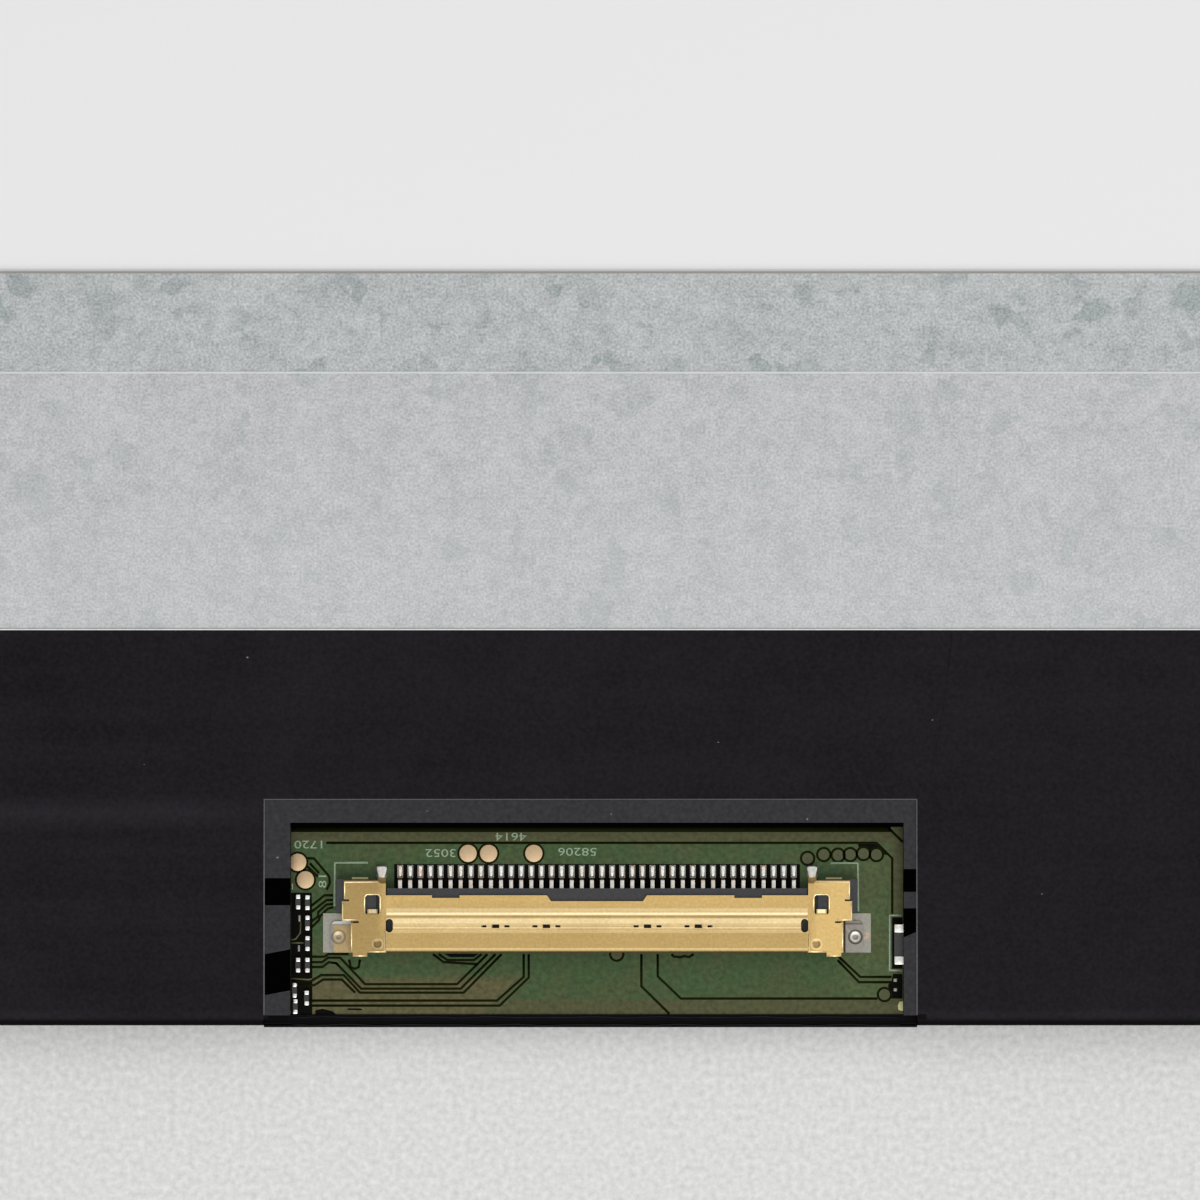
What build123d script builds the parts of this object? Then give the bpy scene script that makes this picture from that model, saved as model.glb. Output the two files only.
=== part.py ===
from build123d import *
import os

# Laptop screen panel lying face down: a liquid crystal cell taped to an edge-lit backlight, with a circuit
# board along the lower edge under a black cover tape that leaves a window for the signal connector.
# Millimetres. The origin is the centre of the outline on the plane of the front face, +Z points out of the
# back, and -Y points to the lower edge.

# Picture and borders
active_width = 344.16
active_height = 193.59
side_border = 3.25
top_border = 2.9

# Cell
polariser_thickness = 0.16
polariser_margin = 0.9
glass_thickness = 0.3
bonding_ledge = 4.1
array_inset = 0.3
cell_play = 0.12
cell_air_gap = 0.15
rim_tape_thickness = 0.06
rim_tape_inset = 0.1

# Moulded frame and the tape round its edge
frame_lip = 0.55
rail_width = 1.3
corner_radius = 0.8
opening_play = 0.1
edge_tape_thickness = 0.06
edge_tape_step = 0.45

# Optical sheets
sheet_margin = 0.8
sheet_play = 0.15
sheet_lead = 0.3
prism_thickness = 0.15
diffuser_thickness = 0.12
guide_thickness = 0.5
guide_lead = 2.5
reflector_thickness = 0.2
reflector_play = 0.1
reflector_lead = 0.15

# Light bar
led_count = 48
led_length = 3.0
led_depth = 0.9
led_height = 0.45
led_gap = 0.1
led_room = 0.25
bar_depth = 3.81
led_flex_inset = 0.7
led_flex_margin = 1.0
tail_x = 128.0
tail_width = 7.0
tail_insertion = 1.4
tail_notch_play = 0.5

# Steel plate
steel_thickness = 0.2
steel_reach = 25.47
steel_play = 0.15
steel_bend = 0.25
flange_play = 0.02
flange_depth = 0.6

# Circuit board and the flexes that join it to the glass
board_length = 318.0
board_height = 10.5
board_play = 0.17
board_gap = 1.13
board_thickness = 0.5
board_corner = 1.0
flex_count = 4
flex_width = 36.0
flex_spacing = 80.0
flex_thickness = 0.05
flex_bond = 1.8
flex_bend_lead = 0.2
driver_chip_length = 24.0
driver_chip_width = 1.2
driver_chip_gap = 0.5
driver_chip_play = 0.02

# Tapes, window film and gasket
tape_thickness = 0.08
tape_overhang = 1.5
tape_bend = 0.3
fold_bend = 0.1
tape_clearance = 0.06
cover_reach = 19.65
flap_lead = 0.45
flap_step = 0.45
clear_thickness = 0.05
clear_inset = 0.5
bare_steel = 4.98
window_side = 1.97
window_reach = 10.12
film_thickness = 0.1
film_tuck = 1.0
film_low = 0.6
film_show_left = 1.33
film_show_right = 0.69
film_show_top = 1.19
film_play = 0.1
gasket_proud = 0.2
gasket_low = 0.7
gasket_inset = 0.05
lip_bulge = 0.1
lip_reach = 0.6
lip_drop = 0.35

# Notches in that film, each as its low and high edge and how far it slants
left_notches = ((6.04, 7.38, 0), (1.83, 3.86, 0.25))
right_notches = ((6.7, 7.83, 0), (4.45, 5.89, 0.3))

# Signal connector
connector_x = 70.0
connector_mouth = 3.7
contact_count = 40
contact_pitch = 0.5
contact_width = 0.2
contact_thickness = 0.12
contact_play = 0.02
contact_toe = 0.55
contact_rise = 0.2
contact_tail = 0.37
contact_tip = 0.5
shell_thickness = 0.12
shell_height = 0.8
lip_height = 1.1
lip_depth = 1.0
slope_depth = 0.85
plate_depth = 0.98
shell_bend = 0.15
ear_offset = 0.7
ear_width = 2.07
ear_shoulder = 0.1
ear_waist = 0.34
ear_back = 0.72
ear_corner = 0.4
shoulder_back = 0.2
ear_slit_width = 0.09
ear_slit_depth = 0.1
shoulder_slit_length = 0.36
waist_slit_length = 0.4
foot_reach = 1.02
foot_length = 1.55
foot_corner = 0.3
leg_width = 0.42
leg_reach = 0.7
leg_lap = 0.8
leg_slope = 0.4
centre_notch = 4.95
centre_notch_depth = 0.29
centre_notch_slant = 0.2
side_notch = 1.37
side_notch_depth = 0.13
side_notch_x = 7.48
vent_xs = (2.5, 5.02)
vent_y = 1.3
vent_length = 0.38
vent_width = 0.18
small_vent_length = 0.25
small_vent_width = 0.11
vent_spacing = 0.57
relief_width = 0.36
relief_length = 0.67
relief_y = 1.33
ear_slot_width = 0.7
ear_slot_length = 0.96
ear_slot_corner = 0.12
ear_slot_x = 0.66
ear_slot_y = 2.36
finger_width = 0.5
finger_length = 0.26
finger_drop = 0.06
hook_width = 0.72
hook_length = 0.2
hook_x = 0.1
dimple_radius = 0.22
dimple_depth = 0.06
dimple_x = 0.4
dimple_y = 0.42
foot_hole_radius = 0.1
foot_ring_radius = 0.31
foot_hole_x = 0.62
foot_hole_y = 0.77
mark_width = 0.58
mark_height = 0.52
mark_depth = 0.03
mark_x = 9.87
mark_inset = 0.04
housing_floor = 0.34
housing_back = 0.35
housing_wall = 0.88
housing_flank = 0.38
housing_inset = 0.15
housing_play = 0.08
housing_side_play = 0.06
pad_thickness = 0.03
pad_width = 0.28
pad_margin = 0.03
pad_heel = 0.05
foot_pad_margin = 0.37
foot_pad_back = 0.39
leg_pad_margin = 0.05

# Parts on the board
controller_size = 7.0
controller_height = 0.85
controller_x = 22.0
manager_size = 5.0
manager_height = 0.75
manager_x = 38.0
backlight_driver_size = 4.0
backlight_driver_height = 0.75
backlight_driver_x = 100.0
memory_length = 3.0
memory_width = 2.0
memory_height = 0.6
memory_x = 8.0
inductor_size = 3.0
inductor_height = 0.8
inductor_corner = 0.4
inductor_xs = (44.5, 106.0, 111.0)
socket_length = 9.0
socket_depth = 3.4
socket_height = 0.8
socket_floor = 0.25
socket_play = 0.05
socket_gap = 1.2
capacitor_length = 1.0
capacitor_width = 0.5
capacitor_height = 0.5
capacitor_terminal = 0.25
capacitor_pitch = 2.0
capacitor_group_xs = (22.0, 104.0)
capacitor_group_counts = (12, 8)
capacitor_inset = 1.25
resistor_length = 0.74
resistor_width = 0.24
resistor_height = 0.23
resistor_terminal = 0.22
resistor_spots = ((-14.81, 6.2), (-14.81, 3.08), (-14.98, 1.83), (-14.94, 1.03), (-14.34, 6.17),
                  (-14.34, 5.16), (-14.34, 4.15), (-14.34, 3.08), (-14.38, 1.45))
fuse_length = 2.0
fuse_width = 0.72
fuse_height = 0.45
fuse_x = 15.08
fuse_y = 4.1
fuse_room = 0.1
fuse_terminal = 0.42
chip_chamfer = 0.1
test_pad_radius = 0.43
test_pad_places = ((-14.83, 8.17), (-14.45, 7.3), (-6.39, 8.61), (-5.37, 8.61), (-3.13, 8.61))

# Outline, from the lower edge upwards
board_low = lip_bulge + tape_thickness + board_play
frame_start = board_low + board_height + board_gap + steel_thickness + flange_play
light_start = frame_start + bar_depth + led_room + led_depth + led_gap
panel_width = active_width + 2 * side_border
panel_height = light_start + guide_lead + active_height + top_border
bottom = -panel_height / 2
top = panel_height / 2
board_bottom = bottom + board_low
board_top = board_bottom + board_height
board_middle = (board_bottom + board_top) / 2
board_half = board_length / 2
flange_out = board_top + board_gap
frame_bottom = bottom + frame_start
frame_half = panel_width / 2 - edge_tape_thickness
frame_top = top - edge_tape_thickness
cavity_bottom = frame_bottom + bar_depth
led_bottom = cavity_bottom + led_room
guide_bottom = bottom + light_start
active_bottom = guide_bottom + guide_lead
active_top = active_bottom + active_height
active_half = active_width / 2
polariser_half = active_half + polariser_margin
polariser_bottom = active_bottom - polariser_margin
polariser_top = active_top + polariser_margin
opening_half = polariser_half + opening_play
opening_bottom = polariser_bottom - opening_play
opening_top = polariser_top + opening_play
cell_half = frame_half - frame_lip - cell_play
cell_top = frame_top - frame_lip - cell_play
array_bottom = frame_bottom + array_inset
filter_bottom = array_bottom + bonding_ledge
sheet_half = active_half + sheet_margin
sheet_top = active_top + sheet_margin
sheet_bottom = guide_bottom + sheet_lead
pocket_half = frame_half - rail_width
pocket_top = frame_top - rail_width
reflector_bottom = guide_bottom - reflector_lead
steel_half = pocket_half - steel_play
steel_top = flange_out + steel_reach
cover_top = bottom + cover_reach
cover_half = board_half + tape_overhang
clear_top = steel_top - bare_steel

# Levels, from the front face to the back
tallest_part = max(controller_height, manager_height, backlight_driver_height, memory_height, inductor_height,
                   socket_height, capacitor_height, fuse_height)
z_filter = polariser_thickness
z_array = z_filter + glass_thickness
z_cell = z_array + glass_thickness
z_ledge = z_cell + rim_tape_thickness
z_sheets = z_cell + polariser_thickness + cell_air_gap
z_lower_prism = z_sheets + prism_thickness
z_diffuser = z_lower_prism + prism_thickness
z_guide = z_diffuser + diffuser_thickness
z_reflector = z_guide + guide_thickness
z_steel = z_reflector + reflector_thickness
z_back = z_steel + steel_thickness
z_board_back = z_back - tallest_part - tape_clearance
z_board = z_board_back - board_thickness
z_pad = z_board_back + pad_thickness
z_film = z_back - film_thickness

# Connector places, in the panel's own frame
mouth = bottom + connector_mouth
lip_back = mouth + lip_depth
slope_back = lip_back + slope_depth
plate_back = slope_back + plate_depth
ear_end = plate_back + ear_back
strip_half = (contact_count - 1) * contact_pitch / 2 + ear_offset
ear_out = strip_half + ear_width
waist_out = ear_out - ear_waist
foot_out = waist_out + foot_reach
housing_end = plate_back + housing_back
contact_high = housing_end + contact_tail
contact_low = contact_high + contact_rise
contact_end = contact_low + contact_toe
window_half = foot_out + window_side
window_left = connector_x - window_half
window_right = connector_x + window_half
window_top = bottom + window_reach
tape_left = window_left - film_show_left
tape_right = window_right + film_show_right
tape_window_top = window_top + film_show_top
z_plate = z_board_back + shell_height - shell_thickness
z_lip = z_board_back + lip_height - shell_thickness
z_contact = z_board_back + housing_floor
middle_plane = Plane.YZ.offset(connector_x)


def save(piece, name):
    """Label a finished piece and write its file."""
    piece.part.label = name
    export_step(piece.part, f"parts/{name}.step")


def area(x_low, x_high, y_low, y_high, mode=Mode.ADD):
    """A rectangle between two corners, in the sketch being drawn."""
    with Locations(((x_low + x_high) / 2, (y_low + y_high) / 2)):
        Rectangle(x_high - x_low, y_high - y_low, mode=mode)


def block(x_low, x_high, y_low, y_high, z_low, z_high, mode=Mode.ADD):
    """A box between two corners, in the piece being built."""
    with Locations(((x_low + x_high) / 2, (y_low + y_high) / 2, (z_low + z_high) / 2)):
        Box(x_high - x_low, y_high - y_low, z_high - z_low, mode=mode)


def sheet(name, half_width, y_low, y_high, z_low, thickness):
    """A flat rectangular layer, centred across the panel."""
    with BuildPart() as layer:
        with BuildSketch(Plane.XY.offset(z_low)):
            area(-half_width, half_width, y_low, y_high)
        extrude(amount=thickness)
    save(layer, name)


os.makedirs("parts", exist_ok=True)

# Cell: two polarisers and two glasses, the array glass longer at the lower edge
sheet("front_polariser", polariser_half, polariser_bottom, polariser_top, 0, polariser_thickness)
sheet("colour_filter_glass", cell_half, filter_bottom, cell_top, z_filter, glass_thickness)
sheet("array_glass", cell_half, array_bottom, cell_top, z_array, glass_thickness)
sheet("rear_polariser", polariser_half, polariser_bottom, polariser_top, z_cell, polariser_thickness)

# Backlight layers
sheet("upper_prism_sheet", sheet_half, sheet_bottom, sheet_top, z_sheets, prism_thickness)
sheet("lower_prism_sheet", sheet_half, sheet_bottom, sheet_top, z_lower_prism, prism_thickness)
sheet("diffuser_sheet", sheet_half, sheet_bottom, sheet_top, z_diffuser, diffuser_thickness)
sheet("light_guide_plate", sheet_half, guide_bottom, sheet_top, z_guide, guide_thickness)
sheet("reflector_sheet", pocket_half - reflector_play, reflector_bottom, pocket_top - reflector_play,
      z_reflector, reflector_thickness)

# Rim tape that holds the cell to the frame's ledge
with BuildPart() as cell_rim_tape:
    with BuildSketch(Plane.XY.offset(z_cell)):
        area(-cell_half + rim_tape_inset, cell_half - rim_tape_inset,
             array_bottom + rim_tape_inset, cell_top - rim_tape_inset)
        area(-opening_half - rim_tape_inset, opening_half + rim_tape_inset,
             opening_bottom - rim_tape_inset, opening_top + rim_tape_inset, mode=Mode.SUBTRACT)
    extrude(amount=rim_tape_thickness)
save(cell_rim_tape, "cell_rim_tape")

# Moulded frame: a lip round the cell, a ledge, the wall round the sheets, and rails at the back
with BuildPart() as mould_frame:
    with BuildSketch(Plane.XY.offset(z_filter)):
        area(-frame_half, frame_half, frame_bottom, frame_top)
        area(-frame_half + frame_lip, frame_half - frame_lip, frame_bottom, frame_top - frame_lip,
             mode=Mode.SUBTRACT)
    extrude(amount=z_ledge - z_filter)
    with BuildSketch(Plane.XY.offset(z_ledge)):
        area(-frame_half, frame_half, frame_bottom, frame_top)
        area(-opening_half, opening_half, opening_bottom, opening_top, mode=Mode.SUBTRACT)
    extrude(amount=z_sheets - z_ledge)
    with BuildSketch(Plane.XY.offset(z_sheets)):
        area(-frame_half, frame_half, frame_bottom, frame_top)
        area(-sheet_half - sheet_play, sheet_half + sheet_play, cavity_bottom, sheet_top + sheet_play,
             mode=Mode.SUBTRACT)
    extrude(amount=z_reflector - z_sheets)
    with BuildSketch(Plane.XY.offset(z_reflector)):
        area(-frame_half, frame_half, frame_bottom, frame_top)
        area(-pocket_half, pocket_half, frame_bottom, pocket_top, mode=Mode.SUBTRACT)
    extrude(amount=z_back - z_reflector)
    fillet(mould_frame.edges().filter_by(Axis.Z).group_by(Axis.Y)[-1], radius=corner_radius)
save(mould_frame, "mould_frame")

# Black tape folded round the sides and the top, from the glass to the wall
with BuildPart() as edge_tape:
    with BuildSketch(Plane.XY.offset(z_filter - edge_tape_thickness)) as tape_outline:
        area(-panel_width / 2, panel_width / 2, frame_bottom, top)
        fillet(tape_outline.vertices().group_by(Axis.Y)[-1], radius=corner_radius + edge_tape_thickness)
    extrude(amount=z_reflector - z_filter + edge_tape_thickness)
    with BuildSketch(Plane.XY.offset(z_filter)) as frame_outline:
        area(-frame_half, frame_half, frame_bottom, frame_top)
        fillet(frame_outline.vertices().group_by(Axis.Y)[-1], radius=corner_radius)
    extrude(amount=z_reflector - z_filter, mode=Mode.SUBTRACT)
    with BuildSketch(Plane.XY.offset(z_filter - edge_tape_thickness)):
        area(-polariser_half - edge_tape_step, polariser_half + edge_tape_step, frame_bottom,
             polariser_top + edge_tape_step)
    extrude(amount=edge_tape_thickness, mode=Mode.SUBTRACT)
save(edge_tape, "edge_tape")

# Light emitting diodes along the guide's lower edge
with BuildPart() as light_diodes:
    with BuildSketch(Plane.XY.offset(z_reflector - led_height)):
        with Locations((0, led_bottom + led_depth / 2)):
            with GridLocations(2 * sheet_half / led_count, 1, led_count, 1):
                Rectangle(led_length, led_depth)
    extrude(amount=led_height)
save(light_diodes, "light_diodes")

# Flex behind the diodes, with its tail stepping down to the socket on the board
socket_top = board_top - socket_gap
z_tail = z_board_back + socket_floor + socket_play
with BuildPart() as light_flex:
    with BuildSketch(Plane.XY.offset(z_reflector)):
        area(-sheet_half + led_flex_margin, sheet_half - led_flex_margin, frame_bottom + led_flex_inset,
             reflector_bottom - reflector_play)
    extrude(amount=reflector_thickness)
    with BuildSketch(Plane.YZ.offset(tail_x - tail_width / 2)):
        with BuildLine():
            Polyline((frame_bottom + led_flex_inset, z_reflector), (frame_bottom, z_reflector),
                     (board_top, z_tail), (socket_top - tail_insertion, z_tail))
            offset(amount=reflector_thickness, side=Side.RIGHT)
        make_face()
    extrude(amount=tail_width)
save(light_flex, "light_flex")

# Galvanised plate over the light bar, with a flange folded down its lower edge and a notch for the tail
with BuildPart() as rear_steel_plate:
    block(-steel_half, steel_half, flange_out, steel_top, z_steel, z_back)
    z_flange = z_steel - flange_depth
    block(-steel_half, steel_half, flange_out, flange_out + steel_thickness, z_flange, z_steel)
    fillet(rear_steel_plate.edges().filter_by(Axis.X).group_by(Axis.Y)[0].sort_by(Axis.Z)[-1],
           radius=steel_bend)
    notch_half = tail_width / 2 + tail_notch_play
    block(tail_x - notch_half, tail_x + notch_half, flange_out, flange_out + steel_thickness, z_flange,
          z_steel, mode=Mode.SUBTRACT)
save(rear_steel_plate, "rear_steel_plate")

# Clear tape on the plate, from the cover tape up to the bare strip
sheet("clear_tape", steel_half - clear_inset, cover_top, clear_top, z_back, clear_thickness)

# Circuit board
with BuildPart() as circuit_board:
    with BuildSketch(Plane.XY.offset(z_board)) as board_outline:
        area(-board_half, board_half, board_bottom, board_top)
        fillet(board_outline.vertices(), radius=board_corner)
    extrude(amount=board_thickness)
save(circuit_board, "circuit_board")

# Flexes bonded to the front of the array glass and the front of the board
with BuildPart() as board_flexes:
    with BuildSketch(Plane.YZ.offset(-flex_width / 2)):
        with BuildLine():
            Polyline((array_bottom + flex_bond, z_array), (array_bottom - flex_bend_lead, z_array),
                     (board_top + flex_bend_lead, z_board), (board_top - flex_bond, z_board))
            offset(amount=flex_thickness, side=Side.LEFT)
        make_face()
    first_flex = extrude(amount=flex_width, mode=Mode.PRIVATE)
    with GridLocations(flex_spacing, 1, flex_count, 1):
        add(first_flex)
save(board_flexes, "board_flexes")

# Driver chips on the array glass, between the flexes and the colour filter glass
with BuildPart() as driver_chips:
    with BuildSketch(Plane.XY.offset(z_filter + driver_chip_play)):
        with Locations((0, filter_bottom - driver_chip_gap - driver_chip_width / 2)):
            with GridLocations(flex_spacing, 1, flex_count, 1):
                Rectangle(driver_chip_length, driver_chip_width)
    extrude(amount=glass_thickness - driver_chip_play)
save(driver_chips, "driver_chips")

# Black cover tape: over the plate and the board and down the lower edge, with a window at the connector
tape_half = tape_thickness / 2
tape_wall = bottom + lip_bulge + tape_half
z_tape = z_back + tape_half
z_flap = z_board - flex_thickness - tape_half
with BuildPart() as cover_tape:
    with BuildSketch(Plane.YZ.offset(-cover_half)):
        with BuildLine():
            FilletPolyline((cover_top - tape_half, z_tape), (tape_wall, z_tape),
                           (tape_wall, z_flap + tape_thickness), radius=tape_bend)
            offset(amount=tape_half)
        make_face()
    extrude(amount=2 * cover_half)
    block(tape_left, tape_right, bottom, tape_window_top, z_flap, z_tape + tape_thickness, mode=Mode.SUBTRACT)
save(cover_tape, "cover_tape")

# Black front tape: from the glass over the flexes to the lower edge, and round the bare board in the window
z_front_flap = z_filter - tape_half
z_lip_middle = z_board_back + tape_half
z_lip_top = z_board_back + tape_thickness
z_bulge = z_board_back - lip_drop
with BuildPart() as front_tape:
    with BuildSketch(Plane.YZ.offset(-cover_half)):
        with BuildLine():
            FilletPolyline((tape_wall, z_flap), (board_top - flap_lead, z_flap), (array_bottom, z_front_flap),
                           (polariser_bottom - flap_step - tape_half, z_front_flap), radius=tape_bend)
            offset(amount=tape_half)
        make_face()
    extrude(amount=2 * cover_half)
    with BuildSketch(Plane.YZ.offset(tape_left)):
        with BuildLine():
            FilletPolyline((bottom + lip_reach, z_lip_middle), (tape_wall, z_lip_middle), (tape_wall, z_flap),
                           (board_middle, z_flap), radius=fold_bend)
            offset(amount=tape_half)
        make_face()
        with BuildLine():
            Line((bottom + lip_bulge, z_lip_top), (bottom + lip_bulge, z_bulge))
            ThreePointArc((bottom + lip_bulge, z_bulge), (bottom, (z_bulge + z_lip_top) / 2),
                          (bottom + lip_bulge, z_lip_top))
        make_face()
    extrude(amount=tape_right - tape_left)
save(front_tape, "front_tape")

# Dark film round the window, under the cover tape, notched on both sides
film_left = tape_left - film_tuck
film_right = tape_right + film_tuck
with BuildPart() as window_film:
    with BuildSketch(Plane.XY.offset(z_film)):
        area(film_left, film_right, bottom + film_low, flange_out - film_play)
        area(window_left, window_right, bottom, window_top, mode=Mode.SUBTRACT)
        for low, high, slant in left_notches:
            with BuildLine():
                Polyline((tape_left, bottom + low - slant), (window_left, bottom + low),
                         (window_left, bottom + high), (tape_left, bottom + high - slant), close=True)
            make_face(mode=Mode.SUBTRACT)
        for low, high, slant in right_notches:
            with BuildLine():
                Polyline((window_right, bottom + low), (tape_right, bottom + low + slant),
                         (tape_right, bottom + high), (window_right, bottom + high), close=True)
            make_face(mode=Mode.SUBTRACT)
    extrude(amount=film_thickness)
save(window_film, "window_film")

# Black foam gasket between the board and that film, bridging the fuse
fuse_left = connector_x + fuse_x - fuse_width / 2
fuse_right = connector_x + fuse_x + fuse_width / 2
fuse_low = bottom + fuse_y - fuse_length / 2
fuse_high = bottom + fuse_y + fuse_length / 2
with BuildPart() as window_gasket:
    with BuildSketch(Plane.XY.offset(z_board_back)):
        area(film_left, film_right, bottom + gasket_low, board_top - gasket_inset)
        area(window_left, window_right, bottom, window_top - gasket_proud, mode=Mode.SUBTRACT)
    extrude(amount=z_film - z_board_back)
    block(window_right, fuse_right + fuse_room, fuse_low - fuse_room, fuse_high + fuse_room, z_board_back,
          z_board_back + fuse_height + fuse_room, mode=Mode.SUBTRACT)
save(window_gasket, "window_gasket")

# Connector shell: one stamping, right half mirrored to the left
with BuildPart() as connector_shell:
    with BuildSketch(middle_plane):
        with BuildLine():
            FilletPolyline((plate_back, z_plate), (slope_back, z_plate), (lip_back, z_lip), (mouth, z_lip),
                           radius=shell_bend)
            offset(amount=shell_thickness, side=Side.RIGHT)
        make_face()
    extrude(amount=strip_half)
    with BuildSketch(Plane.XY.offset(z_plate)):
        with BuildLine():
            foot_end = mouth + foot_length
            shoulder_end = plate_back - shoulder_back
            inner = connector_x + strip_half
            outer = connector_x + ear_out
            waist = connector_x + waist_out
            Polyline((inner, mouth), (waist, mouth), (waist, foot_end),
                     (outer + ear_shoulder, foot_end), (outer + ear_shoulder, shoulder_end),
                     (outer, shoulder_end), (outer, ear_end), (inner + ear_corner, ear_end),
                     (inner, ear_end - ear_corner), (inner, mouth))
        make_face()
    extrude(amount=shell_thickness)
    foot_plane = Plane.XZ.offset(-mouth)
    with BuildSketch(foot_plane):
        with BuildLine():
            Polyline((waist - ear_waist, z_plate), (waist - shell_thickness, z_plate),
                     (waist - shell_thickness, z_pad), (connector_x + foot_out, z_pad))
            offset(amount=shell_thickness, side=Side.LEFT)
        make_face()
    extrude(amount=-foot_length)
    foot_corners = connector_shell.edges().filter_by(Axis.Z).group_by(Axis.X)[-1]
    fillet(foot_corners, radius=foot_corner)
    with BuildSketch(middle_plane.offset(strip_half)):
        with BuildLine():
            Polyline((ear_end - leg_lap, z_plate), (ear_end - leg_slope / 2, z_plate),
                     (ear_end + leg_slope / 2, z_pad), (ear_end + leg_reach, z_pad))
            offset(amount=shell_thickness, side=Side.LEFT)
        make_face()
    extrude(amount=leg_width)
    with BuildSketch(Plane.XY.offset(z_plate)):
        with BuildLine():
            notch_front = plate_back - centre_notch_depth
            notch_edge = connector_x + centre_notch / 2
            Polyline((connector_x, plate_back), (connector_x, notch_front),
                     (notch_edge - centre_notch_slant, notch_front), (notch_edge, plate_back), close=True)
        make_face()
        notch_left = connector_x + side_notch_x - side_notch / 2
        area(notch_left, notch_left + side_notch, plate_back - side_notch_depth, plate_back)
        with Locations((inner + ear_slot_x, mouth + ear_slot_y)):
            RectangleRounded(ear_slot_width, ear_slot_length, ear_slot_corner)
    extrude(amount=shell_thickness, mode=Mode.SUBTRACT)
    with BuildSketch(Plane.XY.offset(z_plate - ear_slit_depth)):
        area(outer + ear_shoulder - shoulder_slit_length, outer + ear_shoulder, shoulder_end - ear_slit_width,
             shoulder_end)
        area(waist - waist_slit_length, waist, foot_end - ear_slit_width, foot_end)
    extrude(amount=ear_slit_depth + shell_thickness, mode=Mode.SUBTRACT)
    with BuildSketch(Plane.XY.offset(z_plate)):
        with Locations((inner - relief_width / 2, mouth + relief_y)):
            SlotOverall(relief_length, relief_width, rotation=90)
        for vent_x in vent_xs:
            with Locations((connector_x + vent_x, mouth + vent_y)):
                Rectangle(vent_length, vent_width)
                with GridLocations(2 * vent_spacing, 1, 2, 1):
                    Rectangle(small_vent_length, small_vent_width)
    extrude(amount=z_lip + shell_thickness - z_plate, mode=Mode.SUBTRACT)
    finger_left = inner + ear_slot_x - finger_width / 2
    slot_low = mouth + ear_slot_y - ear_slot_length / 2
    block(finger_left, finger_left + finger_width, slot_low - finger_drop, slot_low + finger_length,
          z_plate - finger_drop, z_plate + shell_thickness - finger_drop)
    block(waist - hook_x - hook_width, waist - hook_x, mouth - hook_length, mouth, z_plate,
          z_plate + shell_thickness)
    with Locations((inner + dimple_x, mouth + dimple_y, z_plate + shell_thickness - dimple_depth / 2)):
        Cone(dimple_radius / 2, dimple_radius, dimple_depth, mode=Mode.SUBTRACT)
    with Locations((waist + foot_hole_x, mouth + foot_hole_y, z_pad + shell_thickness - dimple_depth / 2)):
        Cone(foot_hole_radius, foot_ring_radius, dimple_depth, mode=Mode.SUBTRACT)
        Cylinder(foot_hole_radius, 2 * shell_thickness, mode=Mode.SUBTRACT)
    mirror(about=middle_plane)
    with BuildSketch(Plane.XY.offset(z_plate + shell_thickness)):
        with BuildLine():
            mark_left = connector_x - mark_x - mark_width / 2
            mark_back = plate_back - mark_inset
            Polyline((mark_left, mark_back), (mark_left + mark_width, mark_back),
                     (mark_left + mark_width / 2, mark_back - mark_height), close=True)
        make_face()
    extrude(amount=-mark_depth, mode=Mode.SUBTRACT)
save(connector_shell, "connector_shell")

# Connector housing: a floor that carries the contacts, a back wall that they pass through, and two end blocks
flank_low = mouth + foot_length + foot_pad_back + housing_side_play
with BuildPart() as connector_housing:
    floor_half = waist_out - shell_thickness - housing_side_play
    block(connector_x - floor_half, connector_x + floor_half, mouth + housing_inset, housing_end,
          z_board_back, z_contact)
    wall_half = strip_half - housing_side_play
    block(connector_x - wall_half, connector_x + wall_half, housing_end - housing_wall, housing_end,
          z_contact, z_plate)
    for side in (-1, 1):
        flank_in = connector_x + side * (strip_half + leg_width + housing_side_play)
        flank_out = connector_x + side * (ear_out + housing_flank)
        block(min(flank_in, flank_out), max(flank_in, flank_out), flank_low, ear_end + housing_play,
              z_board_back, z_plate - housing_play)
    with BuildSketch(Plane.XY.offset(z_contact)):
        with Locations((connector_x, housing_end - housing_wall / 2)):
            with GridLocations(contact_pitch, 1, contact_count, 1):
                Rectangle(contact_width + 2 * contact_play, housing_wall)
    extrude(amount=contact_thickness + contact_play, mode=Mode.SUBTRACT)
save(connector_housing, "connector_housing")

# Contacts: toe on the pad, rise, tail, then a straight beam on the housing's floor
with BuildPart() as connector_contacts:
    with BuildSketch(Plane.YZ.offset(-contact_width / 2)):
        with BuildLine():
            Polyline((contact_end, z_pad), (contact_low, z_pad), (contact_high, z_contact),
                     (mouth + contact_tip, z_contact))
            offset(amount=contact_thickness, side=Side.RIGHT, kind=Kind.INTERSECTION)
        make_face()
    first_contact = extrude(amount=contact_width, mode=Mode.PRIVATE)
    with Locations((connector_x, 0)):
        with GridLocations(contact_pitch, 1, contact_count, 1):
            add(first_contact)
save(connector_contacts, "connector_contacts")

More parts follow.
